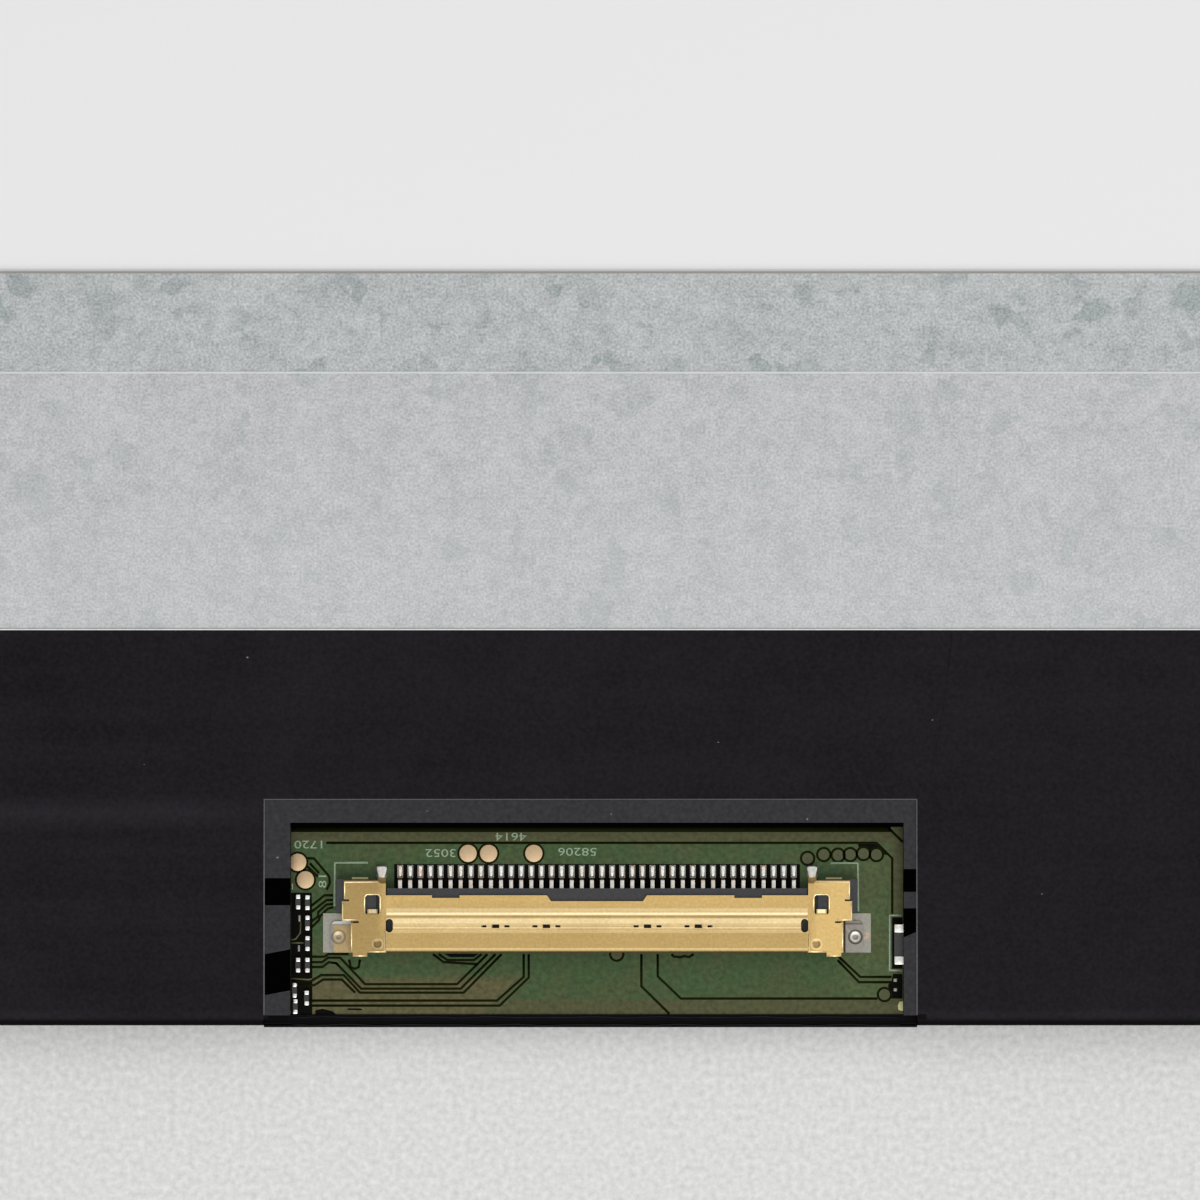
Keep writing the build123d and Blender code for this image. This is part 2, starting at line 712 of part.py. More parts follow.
# Tinned pads under the contacts, the shell's legs and the shell's feet
with BuildPart() as solder_pads:
    with BuildSketch(Plane.XY.offset(z_board_back)):
        pad_low = contact_low - pad_heel
        pad_high = contact_end + pad_margin
        with Locations((connector_x, (pad_low + pad_high) / 2)):
            with GridLocations(contact_pitch, 1, contact_count, 1):
                Rectangle(pad_width, pad_high - pad_low)
        for side in (-1, 1):
            leg_middle = connector_x + side * (strip_half + leg_width / 2)
            leg_half = leg_width / 2 + leg_pad_margin
            area(leg_middle - leg_half, leg_middle + leg_half, ear_end + leg_slope / 2,
                 ear_end + leg_reach + leg_pad_margin)
            foot_in = connector_x + side * (waist_out - shell_thickness)
            foot_edge = connector_x + side * (foot_out + foot_pad_margin)
            area(min(foot_in, foot_edge), max(foot_in, foot_edge), mouth, mouth + foot_length + foot_pad_back)
    extrude(amount=pad_thickness)
save(solder_pads, "solder_pads")

# Bare copper test pads
with BuildPart() as test_pads:
    with BuildSketch(Plane.XY.offset(z_board_back)):
        for pad_x, pad_y in test_pad_places:
            with Locations((connector_x + pad_x, bottom + pad_y)):
                Circle(test_pad_radius)
    extrude(amount=pad_thickness)
save(test_pads, "test_pads")


def moulded_chip(name, x, length, width, height):
    """A moulded chip on the middle line of the board."""
    with BuildPart() as chip:
        block(x - length / 2, x + length / 2, board_middle - width / 2, board_middle + width / 2,
              z_board_back, z_board_back + height)
        chamfer(chip.faces().sort_by(Axis.Z)[-1].edges(), length=chip_chamfer)
    save(chip, name)


moulded_chip("timing_controller", controller_x, controller_size, controller_size, controller_height)
moulded_chip("power_manager", manager_x, manager_size, manager_size, manager_height)
moulded_chip("backlight_driver", backlight_driver_x, backlight_driver_size, backlight_driver_size,
             backlight_driver_height)
moulded_chip("settings_memory", memory_x, memory_length, memory_width, memory_height)

# Inductors beside the two power chips
with BuildPart() as inductors:
    with BuildSketch(Plane.XY.offset(z_board_back)):
        for inductor_x in inductor_xs:
            with Locations((inductor_x, board_middle)):
                RectangleRounded(inductor_size, inductor_size, inductor_corner)
    extrude(amount=inductor_height)
save(inductors, "inductors")

# Socket for the light bar's tail
with BuildPart() as tail_socket:
    block(tail_x - socket_length / 2, tail_x + socket_length / 2, socket_top - socket_depth, socket_top,
          z_board_back, z_board_back + socket_height)
    slot_half = tail_width / 2 + socket_play
    block(tail_x - slot_half, tail_x + slot_half, socket_top - tail_insertion - socket_play, socket_top,
          z_board_back + socket_floor, z_tail + reflector_thickness + socket_play, mode=Mode.SUBTRACT)
save(tail_socket, "tail_socket")


def two_ended_chips(name, places, length, width, height, terminal, turn):
    """Chip bodies and their end terminals, as two groups of solids; length lies along X before the turn."""
    with BuildPart() as bodies:
        with BuildSketch(Plane.XY.offset(z_board_back)):
            for x, y in places:
                with Locations(Location((x, y, 0), (0, 0, turn))):
                    Rectangle(length - 2 * terminal, width)
        extrude(amount=height)
    save(bodies, f"{name}_bodies")
    with BuildPart() as ends:
        with BuildSketch(Plane.XY.offset(z_board_back)):
            for x, y in places:
                with Locations(Location((x, y, 0), (0, 0, turn))):
                    with GridLocations(length - terminal, 1, 2, 1):
                        Rectangle(terminal, width)
        extrude(amount=height)
    save(ends, f"{name}_terminals")


capacitor_places = [
    (group_x + (i - (count - 1) / 2) * capacitor_pitch, row)
    for group_x, count in zip(capacitor_group_xs, capacitor_group_counts)
    for row in (board_bottom + capacitor_inset, board_top - capacitor_inset)
    for i in range(count)
]
resistor_places = [(connector_x + spot_x, bottom + spot_y) for spot_x, spot_y in resistor_spots]
two_ended_chips("capacitor", capacitor_places, capacitor_length, capacitor_width, capacitor_height,
                capacitor_terminal, turn=0)
two_ended_chips("resistor", resistor_places, resistor_length, resistor_width, resistor_height,
                resistor_terminal, turn=90)

# Fuse at the window's right edge, standing across the others
with BuildPart() as fuse_body:
    block(fuse_left, fuse_right, fuse_low + fuse_terminal, fuse_high - fuse_terminal, z_board_back,
          z_board_back + fuse_height)
save(fuse_body, "fuse_body")
with BuildPart() as fuse_terminals:
    for end_low in (fuse_low, fuse_high - fuse_terminal):
        block(fuse_left, fuse_right, end_low, end_low + fuse_terminal, z_board_back,
              z_board_back + fuse_height)
save(fuse_terminals, "fuse_terminals")
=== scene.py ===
import math
import random
import bpy
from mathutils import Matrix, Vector


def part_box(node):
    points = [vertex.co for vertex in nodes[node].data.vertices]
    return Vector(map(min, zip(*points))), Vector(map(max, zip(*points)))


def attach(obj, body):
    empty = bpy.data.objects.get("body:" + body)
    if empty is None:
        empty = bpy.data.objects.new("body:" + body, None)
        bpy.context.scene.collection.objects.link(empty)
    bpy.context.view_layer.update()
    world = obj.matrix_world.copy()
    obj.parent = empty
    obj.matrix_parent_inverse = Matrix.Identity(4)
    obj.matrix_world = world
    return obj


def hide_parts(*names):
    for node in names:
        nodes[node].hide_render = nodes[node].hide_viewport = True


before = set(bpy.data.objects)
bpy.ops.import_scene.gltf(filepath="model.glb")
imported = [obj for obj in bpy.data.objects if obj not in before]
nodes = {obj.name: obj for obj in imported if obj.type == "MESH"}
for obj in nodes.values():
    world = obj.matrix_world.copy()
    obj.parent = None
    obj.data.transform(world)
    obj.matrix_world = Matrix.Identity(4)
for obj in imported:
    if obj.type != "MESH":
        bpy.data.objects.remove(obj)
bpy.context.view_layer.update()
scene = bpy.context.scene
scene.view_settings.view_transform = "Standard"
random.seed(11)
mm = 0.001
mergeGap = 0.0005 * mm  # vertices nearer than this become one
print("frame loaded:", len(nodes), "nodes")

# Places on the board are in millimetres from the connector's middle and the panel's lower edge
shellLow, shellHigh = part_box("connector_shell")
connectorX = (shellLow.x + shellHigh.x) / 2
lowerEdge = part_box("front_tape")[0].y
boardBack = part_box("circuit_board")[1].z
coverLow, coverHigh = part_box("cover_tape")
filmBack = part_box("window_film")[1].z
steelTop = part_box("rear_steel_plate")[1].y
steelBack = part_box("rear_steel_plate")[1].z
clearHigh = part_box("clear_tape")[1]


def spot(across, up, level):
    return Vector((connectorX + across * mm, lowerEdge + up * mm, level))


def tone(red, green, blue):  # a screen colour, 0 to 255, as the shader's linear one
    levels = []
    for value in (red, green, blue):
        part = value / 255
        levels.append(part / 12.92 if part <= 0.04045 else ((part + 0.055) / 1.055) ** 2.4)
    return (*levels, 1.0)


class Wire:  # a socket that can stand in a sum
    def __init__(self, tree, socket):
        self.tree = tree
        self.socket = socket

    def other(self, name):
        return Wire(self.tree, self.socket.node.outputs[name])

    def maths(self, operation, left, right):
        return self.tree.node("Math", {"operation": operation}, {0: left, 1: right})

    def __add__(self, value):
        return self.maths("ADD", self, value)

    def __radd__(self, value):
        return self.maths("ADD", value, self)

    def __sub__(self, value):
        return self.maths("SUBTRACT", self, value)

    def __rsub__(self, value):
        return self.maths("SUBTRACT", value, self)

    def __mul__(self, value):
        return self.maths("MULTIPLY", self, value)

    def __rmul__(self, value):
        return self.maths("MULTIPLY", value, self)

    def __gt__(self, value):
        return self.maths("GREATER_THAN", self, value)

    def __lt__(self, value):
        return self.maths("LESS_THAN", self, value)

    def __or__(self, value):
        return self.maths("MAXIMUM", self, value)


class Tree:  # a node tree written as expressions
    def __init__(self, tree):
        self.tree = tree
        self.tree.nodes.clear()

    def node(self, kind, settings=None, sockets=None, output=0):
        made = self.tree.nodes.new("ShaderNode" + kind)
        for name, value in (settings or {}).items():
            setattr(made, name, value)
        for name, value in (sockets or {}).items():
            self.plug(made.inputs[name], value)
        if made.outputs:
            return Wire(self, made.outputs[output])

    def plug(self, socket, value):
        if isinstance(value, Wire):
            self.tree.links.new(value.socket, socket)
        else:
            socket.default_value = value


class Finish(Tree):  # one material with a Principled shader; its places are in millimetres
    def __init__(self, name, fixed):
        self.material = bpy.data.materials.new(name)
        self.material.use_nodes = True
        super().__init__(self.material.node_tree)
        self.shader = self.node("BsdfPrincipled")
        self.node("OutputMaterial", {}, {"Surface": self.shader})
        self.vary(fixed)
        inMetres = self.node("TexCoord", {}, {}, "Object")
        self.place = self.node("VectorMath", {"operation": "SCALE"}, {0: inMetres, "Scale": 1 / mm})
        self.x = self.node("SeparateXYZ", {}, {0: self.place})
        self.y = self.x.other("Y")

    def vary(self, values):
        for name, value in values.items():
            self.plug(self.shader.socket.node.inputs[name], value)

    def noise(self, scale, detail=2.0, place=None):
        where = place or self.place
        return self.node("TexNoise", {}, {"Vector": where, "Scale": scale, "Detail": detail})

    def stretched(self, across, along):  # places squeezed along one axis, for streaks
        return self.node("VectorMath", {"operation": "MULTIPLY"}, {0: self.place, 1: (across, along, 1.0)})

    def step(self, value, low, high):
        return self.node("MapRange", {"interpolation_type": "SMOOTHSTEP"}, {0: value, 1: low, 2: high})

    def band(self, value, low, high, soft):  # 1 between two levels
        return self.step(value, low - soft, low + soft) * self.step(value, high + soft, high - soft)

    def mix(self, share, first, second):
        return self.node("Mix", {"data_type": "RGBA"}, {0: share, 6: first, 7: second}, 2)

    def dim(self, colour, share):  # a colour made lighter or darker
        start = colour if isinstance(colour, Wire) else colour[:3]
        return self.node("VectorMath", {"operation": "SCALE"}, {0: start, "Scale": share})

    def around(self, across, up):  # how far from a place on the board
        flat = self.node("VectorMath", {"operation": "MULTIPLY"}, {0: self.place, 1: (1.0, 1.0, 0.0)})
        centre = spot(across, up, 0) / mm
        return self.node("VectorMath", {"operation": "DISTANCE"}, {0: flat, 1: centre}, "Value")

    def bump(self, height, depth):
        return self.node("Bump", {}, {"Distance": depth * mm, "Height": height})


def grainedFinish(name, colour, roughness, grain, swing, depth, fixed=None):
    roughSwing = 0.12
    finish = Finish(name, {"Roughness": roughness, **(fixed or {})})
    fine = finish.noise(grain, 3.0)
    finish.vary({
        "Base Color": finish.dim(colour, 1 - swing / 2 + swing * fine),
        "Roughness": roughness - roughSwing / 2 + roughSwing * fine,
        "Normal": finish.bump(fine, depth),
    })
    return finish


def sheetFinish():
    look = {
        "white": tone(232, 232, 232),
        "cloudSize": 0.05,
        "cloudSwing": 0.008,
        "lift": 0.22,  # lighter along the steel: painted light against the shadow of the steel's step
        "paintedLightReach": (0.32, 0.04),
    }
    finish = Finish("reflectorWhite", {"Roughness": 0.6, "Specular IOR Level": 0.1})
    cloud = finish.noise(look["cloudSize"], 3.0)
    liftFar, liftNear = look["paintedLightReach"]
    # painted light: the sheet is lighter near the steel to cancel the shadow cast by the steel's step
    lift = finish.step(finish.y, steelTop / mm + liftFar, steelTop / mm + liftNear) * look["lift"]
    finish.vary({"Base Color": finish.dim(look["white"], 1 - look["cloudSwing"] * cloud + lift)})
    return finish


def steelFinish():
    look = {
        "bare": tone(175, 178, 178),
        "covered": tone(181, 182, 182),
        "crystal": tone(150, 158, 157),
        "edgeLine": tone(146, 143, 138),
        "crystalSize": 0.85,  # crystals a millimetre
        "crystalShare": (0.8, 0.3),  # on the bare steel, and how much less under the tape
        "edgeLineWidth": 0.11,
        "level": 0.14,
        "grain": 1.08,
        "fleck": 0.44,
        "cloud": 0.2,
    }
    finish = Finish("galvanisedSteel", {"Metallic": 0.9, "Specular IOR Level": 0.3})
    warp = finish.noise(1.5, 1.0).other("Color")
    bent = finish.node("VectorMath", {"operation": "MULTIPLY_ADD"},
                       {0: warp, 1: (1.6, 1.2, 0.0), 2: finish.place})
    cells = finish.node("TexVoronoi", {}, {"Vector": bent, "Scale": look["crystalSize"]}, "Color")
    pick = finish.node("SeparateColor", {}, {0: cells})
    crystal = finish.step(pick, 0.4, 0.05) * finish.step(finish.noise(0.5, 3.0), 0.36, 0.6)
    grain = finish.noise(8.0, 2.0)
    fleck = finish.noise(1.8, 4.0)
    cloud = finish.noise(0.3, 3.0)
    # lighter under the clear tape: cleaner steel, with the film's reflection painted in; the crystals show
    # less there
    covered = finish.y < clearHigh.y / mm
    colour = finish.mix(covered, look["bare"], look["covered"])
    bareShare, lessCovered = look["crystalShare"]
    colour = finish.mix(crystal * (bareShare - lessCovered * covered), colour, look["crystal"])
    shade = look["level"] + look["grain"] * grain + look["fleck"] * fleck + look["cloud"] * cloud
    colour = finish.dim(colour, shade)
    # a darker line along the steel's top edge
    edge = finish.y > steelTop / mm - look["edgeLineWidth"]
    finish.vary({
        "Base Color": finish.mix(edge, colour, look["edgeLine"]),
        "Roughness": 0.52 + 0.14 * grain - 0.06 * crystal,
        "Normal": finish.bump(grain, 0.006),
    })
    return finish


def clearFinish():
    look = {"film": tone(238, 240, 242), "haze": 0.1, "edge": 0.5, "glintWidth": 0.1}
    finish = Finish("clearFilm", {"Roughness": 0.45, "Specular IOR Level": 0.1})
    lower = finish.step(finish.y, clearHigh.y / mm, coverHigh.y / mm)
    # painted glint along the film's upper edge: whiter and more opaque there
    highlightRim = finish.y > clearHigh.y / mm - look["glintWidth"]
    smear = finish.noise(0.35, 3.0)
    finish.vary({
        "Base Color": finish.dim(look["film"], 0.97 + 0.04 * smear),
        "Alpha": look["haze"] + 0.05 * lower + 0.03 * smear + (look["edge"] - look["haze"]) * highlightRim,
    })
    return finish


def tapeFinish():
    look = {
        "black": (0.0116, 0.0100, 0.0125, 1.0),
        "streak": (0.05, 0.7),
        "foldUp": 10.6,  # a soft fold beside the window, its sheen painted in as lighter colour
        "foldWidth": 1.1,
        "edge": (0.28, 0.5, 0.64, 1.0),  # the lower edge: painted shade on its wall, then a painted highlight along its top
        "lip": (16.4, 0.66),  # the folded lip below the window: half its width and its top
        "side": (-15.0, -21.0),  # the tape grows streaky from here to the left; the streaks are partly painted sheen of its wrinkles
        "wallShade": 0.9,
        "lipShade": 0.75,
        "foldHighlight": 0.7,
    }
    finish = Finish("blackTape", {"Specular IOR Level": 0.035})
    up = finish.y - lowerEdge / mm
    left = finish.step(finish.x - connectorX / mm, *look["side"])
    fromFold = finish.node("Math", {"operation": "ABSOLUTE"}, {0: up - look["foldUp"]})
    foldSheen = finish.step(fromFold, look["foldWidth"], 0.0) * left
    streak = finish.noise(0.8, 3.0, finish.stretched(*look["streak"]))
    grain = finish.noise(5.0, 2.0)
    cloud = finish.noise(0.25, 3.0)
    wallLow, wallHigh, highlightLow, highlightHigh = look["edge"]
    edgeShade = finish.step(up, wallHigh, wallLow)
    foldHighlight = finish.step(up, wallLow, highlightLow) * finish.step(up, highlightHigh, highlightLow)
    # the streaks and the fold add painted sheen to the tape's colour; the streaks also shape the bump
    shade = 1.2 * grain + 0.5 * cloud + (0.4 + 0.6 * left) * streak + 0.6 * foldSheen - 0.35 * left
    out = finish.node("Math", {"operation": "ABSOLUTE"}, {0: finish.x - connectorX / mm})
    lip = finish.step(out, look["lip"][0], look["lip"][0] - 0.2) * (up < look["lip"][1])
    # painted shade on the lower edge's wall and on the folded lip below the window
    dark = look["wallShade"] * edgeShade | look["lipShade"] * lip
    finish.vary({
        "Base Color": finish.dim(look["black"], (shade + look["foldHighlight"] * foldHighlight * cloud) * (1 - dark)),
        "Roughness": 0.46 + 0.16 * cloud,
        "Normal": finish.bump(streak + 0.2 * grain, 0.02),
    })
    return finish


def boardFinish():
    look = {
        "mask": (0.040, 0.076, 0.0235, 1.0),
        "pour": (0.0635, 0.0675, 0.025, 1.0),
        "bundle": (0.0864, 0.0790, 0.0310, 1.0),  # round the traces at the lower left
        "bundleTop": (2.75, 2.15),
        "bundleSlope": (-6.2, -6.5),
        "side": (0.0600, 0.0880, 0.0303, 1.0),  # past the connector's right end
        "sideFrom": (11.5, 13.0),
        "upperPour": 9.13,
        "lowerPour": 1.36,
        "sidePour": 14.63,
        "patchShare": 0.5,
        "level": 0.3,
        "grain": 1.4,
    }
    finish = Finish("solderMask", {"Specular IOR Level": 0.24})
    across = finish.x - connectorX / mm
    up = finish.y - lowerEdge / mm
    patch = finish.step(finish.noise(0.55, 3.0), 0.42, 0.66)
    pour = (up > look["upperPour"]) | (up < look["lowerPour"]) | (across > look["sidePour"])
    grain = finish.noise(4.0, 3.0)
    colour = finish.mix(finish.step(across, *look["sideFrom"]), look["mask"], look["side"])
    colour = finish.mix(pour | patch * look["patchShare"], colour, look["pour"])
    bundle = finish.step(up, *look["bundleTop"]) * finish.step(across - up, *look["bundleSlope"])
    colour = finish.mix(bundle, colour, look["bundle"])
    finish.vary({
        "Base Color": finish.dim(colour, look["level"] + look["grain"] * grain),
        "Roughness": 0.36 + 0.14 * grain,
        "Normal": finish.bump(grain, 0.004),
    })
    return finish


def giltFinish():
    look = {
        "gilt": tone(199, 169, 110),
        "worn": tone(188, 158, 100),
        "paintedHighlight": tone(255, 236, 190),
        "tinned": tone(152, 148, 140),
        "bright": tone(222, 220, 214),
        "paintedShade": tone(84, 70, 58),
        "shadow": tone(46, 34, 18),
        "strip": 10.42,  # half the raised strip
        "bends": (  # place, half width and painted highlight
            (5.80, 0.09, 0.3), (5.62, 0.06, 1.0), (5.26, 0.13, 0.58), (5.08, 0.08, 0.28), (4.93, 0.04, 0.58),
            (4.76, 0.08, 0.2), (3.88, 0.035, 0.4),
        ),
        "bendSoft": 0.025,
        "soft": 0.02,
        "crease": (5.47, 0.03),
        "lip": 4.66,
        "underside": 3.77,
        "foot": 12.2,  # the feet lie further out than this
        "footTop": 5.28,
        "ring": (12.8, 4.47),
        "dimple": (10.85, 4.12),
        "finger": (10.92, 11.3, 5.66, 5.86),
        "leftEar": (-11.0, -10.2, 0.66),  # from, to and its light
        "rightEar": (10.4, 11.0, 0.12),  # from, to and what its light gains
        "feet": (0.25, 0.24),  # what the left foot's light gains and the right one's loses
    }
    finish = Finish("giltMetal", {"Metallic": 1.0})
    across = finish.x - connectorX / mm
    up = finish.y - lowerEdge / mm
    out = finish.node("Math", {"operation": "ABSOLUTE"}, {0: across})
    wear = finish.step(finish.noise(0.45, 4.0), 0.4, 0.68)
    rolled = finish.noise(3.0, 3.0, finish.stretched(0.25, 1.6))
    grain = finish.noise(7.0, 2.0)
    strip = out < look["strip"]
    soft = look["soft"]
    # painted highlights on the ears' tongues and along the strip's bends
    paintedHighlights = finish.band(out, *look["finger"][:2], soft) * finish.band(up, *look["finger"][2:], soft)
    for level, half, share in look["bends"]:
        paintedHighlights = paintedHighlights | finish.band(up, level - half, level + half, look["bendSoft"]) * share * strip
    # painted shade in the crease below the upper bend
    creaseUp, creaseHalf = look["crease"]
    crease = finish.band(up, creaseUp - creaseHalf, creaseUp + creaseHalf, soft)
    leftFrom, leftTo, leftLight = look["leftEar"]
    rightFrom, rightTo, rightGain = look["rightEar"]
    shaded = (leftLight + (1 - leftLight) * finish.step(across, leftFrom, leftTo)
              + rightGain * finish.step(across, rightFrom, rightTo))
    # the lip a little darker in tone, and the crease's painted shade
    lip = 1 - strip * (0.15 * (up < look["lip"]) | 0.3 * crease)
    colour = finish.mix(wear * 0.5, look["gilt"], look["worn"])
    colour = finish.mix(paintedHighlights, finish.dim(colour, lip), look["paintedHighlight"])
    foot = (out > look["foot"]) * (up < look["footTop"])
    rightFoot = foot * (across > 0)
    leftFoot = foot * (across < 0)
    leftRim = finish.step(up, 4.98, 5.08) | finish.step(across, -12.98, -13.08)
    colour = finish.mix(rightFoot | leftFoot * (0.3 + 0.7 * leftRim), colour, look["tinned"])
    colour = finish.mix(leftFoot * finish.step(up, 5.08, 5.16) * 0.8, colour, look["bright"])
    # painted shade along the right foot's upper edge
    colour = finish.mix(rightFoot * finish.band(up, 5.08, 5.18, 0.03) * 0.6, colour, look["paintedShade"])
    # painted highlight and shade round the feet's rings and in the ears' dimples
    for side, dark, light in ((-1, 0.45, 0.3), (1, 0.9, 0.75)):
        ringAway = finish.around(side * look["ring"][0], look["ring"][1])
        colour = finish.mix(finish.band(ringAway, 0.15, 0.25, soft) * light, colour, look["bright"])
        dimpleAway = finish.around(side * look["dimple"][0], look["dimple"][1])
        colour = finish.mix(finish.band(dimpleAway, 0.22, 0.29, soft) * 0.3, colour, look["paintedHighlight"])
        paintedShade = finish.band(ringAway, 0.28, 0.37, soft) * dark | finish.step(dimpleAway, 0.21, 0.15) * 0.5
        colour = finish.mix(paintedShade, colour, look["paintedShade"])
    leftGain, rightLoss = look["feet"]
    shaded = shaded * (1 + leftGain * leftFoot - rightLoss * rightFoot)
    # painted shadow below the lip's lower edge and beside the right foot's wall
    paintedShadow = rightFoot * finish.step(across, 12.34, 12.28) | strip * (up < look["underside"])
    colour = finish.mix(paintedShadow * 0.9, colour, look["shadow"])
    finish.vary({
        "Base Color": finish.dim(colour, (0.8 + 0.4 * grain) * shaded),
        "Roughness": 0.4 + 0.1 * rolled + 0.06 * wear,
        "Normal": finish.bump(rolled + 0.5 * grain, 0.003),
    })
    return finish


def tinFinish(name, tin, roughness, shade=None):
    look = {"warm": tone(206, 170, 138), "shade": tone(58, 42, 32), "rise": (7.25, 7.3, 7.36, 7.42)}
    finish = Finish(name, {"Metallic": 1.0})
    warm = finish.step(finish.noise(1.6, 2.0), 0.54, 0.7)
    grain = finish.noise(8.0, 2.0)
    colour = finish.mix(warm * 0.5, tin, look["warm"])
    if shade:  # painted shade on the contacts where they rise to the housing
        up = finish.y - lowerEdge / mm
        low, foot, head, high = look["rise"]
        colour = finish.mix(finish.step(up, low, foot) * finish.step(up, high, head) * shade, colour,
                            look["shade"])
    finish.vary({
        "Base Color": finish.dim(colour, 0.7 + 0.6 * grain),
        "Roughness": roughness - 0.1 + 0.2 * grain,
        "Normal": finish.bump(grain, 0.006),
    })
    return finish


def polariserFinish():
    look = {"off": (0.0105, 0.0105, 0.0125, 1.0), "border": (0.0055, 0.0055, 0.006, 1.0), "borderWidth": 0.9}
    low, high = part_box("front_polariser")
    finish = Finish("polariserFilm", {"Specular IOR Level": 0.45})
    sides = (finish.x < low.x / mm + look["borderWidth"]) | (finish.x > high.x / mm - look["borderWidth"])
    ends = (finish.y < low.y / mm + look["borderWidth"]) | (finish.y > high.y / mm - look["borderWidth"])
    fine = finish.noise(14.0, 2.0)
    finish.vary({
        "Base Color": finish.mix(sides | ends, look["off"], look["border"]),
        "Roughness": 0.34 + 0.1 * fine,
        "Normal": finish.bump(fine, 0.003),
    })
    return finish


def floorFinish():
    look = {"table": tone(216, 216, 215), "grain": 3.2, "swing": 0.52}
    finish = Finish("paleTable", {"Roughness": 0.75, "Specular IOR Level": 0.1})
    grain = finish.noise(look["grain"], 3.0)
    finish.vary({
        "Base Color": finish.dim(look["table"], 1 - look["swing"] / 2 + look["swing"] * grain),
        "Normal": finish.bump(grain, 0.02),
    })
    return finish


finishes = {
    "polariser": polariserFinish(),
    "glass": grainedFinish("groundGlass", tone(38, 50, 46), 0.22, 3.0, 0.2, 0.002,
                           {"Specular IOR Level": 0.5}),
    "frame": grainedFinish("whiteFrame", tone(226, 226, 222), 0.5, 4.0, 0.05, 0.004),
    "optical": grainedFinish("frostedFilm", tone(228, 230, 232), 0.4, 5.0, 0.04, 0.002),
    "guide": grainedFinish("polishedGuide", tone(222, 230, 230), 0.12, 2.0, 0.03, 0.001),
    "sheet": sheetFinish(),
    "steel": steelFinish(),
    "clear": clearFinish(),
    "tape": tapeFinish(),
    "film": grainedFinish("darkFilm", (0.026, 0.0255, 0.028, 1.0), 0.38, 4.5, 1.3, 0.004,
                          {"Specular IOR Level": 0.16}),
    # near-total black: the foam's own black with the shade in the window's slots painted in
    "foamAndShade": grainedFinish("blackFoamAndShade", (0.0008, 0.0008, 0.0008, 1.0), 0.9, 6.0, 0.5, 0.01,
                          {"Specular IOR Level": 0.0}),
    "board": boardFinish(),
    "gilt": giltFinish(),
    "tin": tinFinish("reflowedTin", tone(226, 225, 220), 0.4),
    "legTin": tinFinish("legTin", tone(202, 200, 194), 0.42),
    "contact": tinFinish("contactTin", tone(212, 208, 200), 0.42, 0.92),
    "padTin": tinFinish("dullTin", tone(148, 146, 136), 0.55),
    "copper": grainedFinish("platedCopper", tone(190, 165, 132), 0.55, 7.0, 0.3, 0.004, {"Metallic": 0.9}),
    "housing": grainedFinish("mouldedHousing", (0.0185, 0.0185, 0.021, 1.0), 0.42, 6.0, 1.6, 0.005),
    "chip": grainedFinish("chipResin", (0.02, 0.02, 0.021, 1.0), 0.5, 8.0, 0.5, 0.005),
    "silicon": grainedFinish("polishedSilicon", tone(62, 64, 74), 0.15, 2.0, 0.2, 0.001),
    "flex": grainedFinish("amberFlex", tone(164, 104, 40), 0.3, 2.0, 0.16, 0.003),
    "diode": grainedFinish("diodePhosphor", tone(224, 205, 96), 0.4, 6.0, 0.1, 0.004),
    "ferrite": grainedFinish("sinteredFerrite", tone(66, 64, 62), 0.6, 6.0, 0.3, 0.006),
    "ceramic": grainedFinish("brownCeramic", tone(156, 128, 100), 0.45, 7.0, 0.2, 0.004),
    "etched": grainedFinish("etchedGap", (0.0075, 0.0095, 0.0012, 1.0), 0.5, 5.0, 0.6, 0.002,
                            {"Specular IOR Level": 0.02}),
    # dark patches on the board; between the contacts' toes the shade is painted in
    "maskAndShade": grainedFinish("darkMaskAndShade", (0.0022, 0.0022, 0.0016, 1.0), 0.6, 6.0, 0.4, 0.002,
                         {"Specular IOR Level": 0.04}),
    "ink": grainedFinish("printedInk", tone(136, 157, 130), 0.6, 8.0, 0.9, 0.003),
    "bareTrace": grainedFinish("maskedTrace", tone(92, 88, 58), 0.45, 6.0, 0.5, 0.003,
                               {"Specular IOR Level": 0.24}),
    "paleCopper": grainedFinish("paleCopper", tone(196, 190, 140), 0.6, 6.0, 0.3, 0.003),
    "lipFold": grainedFinish("lipFold", (0.010, 0.010, 0.011, 1.0), 0.4, 1.5, 1.4, 0.003,
                             {"Specular IOR Level": 0.03}),
    # painted highlight along the ears' burrs
    "burrHighlight": grainedFinish("paintedBurrHighlight", tone(248, 224, 172), 0.35, 6.0, 0.3, 0.003, {"Metallic": 1.0}),
    "viaMask": grainedFinish("viaMask", (0.070, 0.076, 0.033, 1.0), 0.4, 6.0, 0.4, 0.003,
                             {"Specular IOR Level": 0.24}),
    # painted highlight along the tape's cut edge round the window
    "cutEdgeHighlight": grainedFinish("cutEdgeHighlight", tone(86, 86, 88), 0.5, 5.0, 0.6, 0.004, {"Specular IOR Level": 0.2}),
    # a pale line along the tape's top edge
    "paleEdge": grainedFinish("paleEdgeLine", tone(222, 224, 222), 0.7, 3.0, 0.3, 0.003),
    "lint": grainedFinish("paleLint", tone(104, 104, 104), 0.8, 9.0, 0.6, 0.004),
}

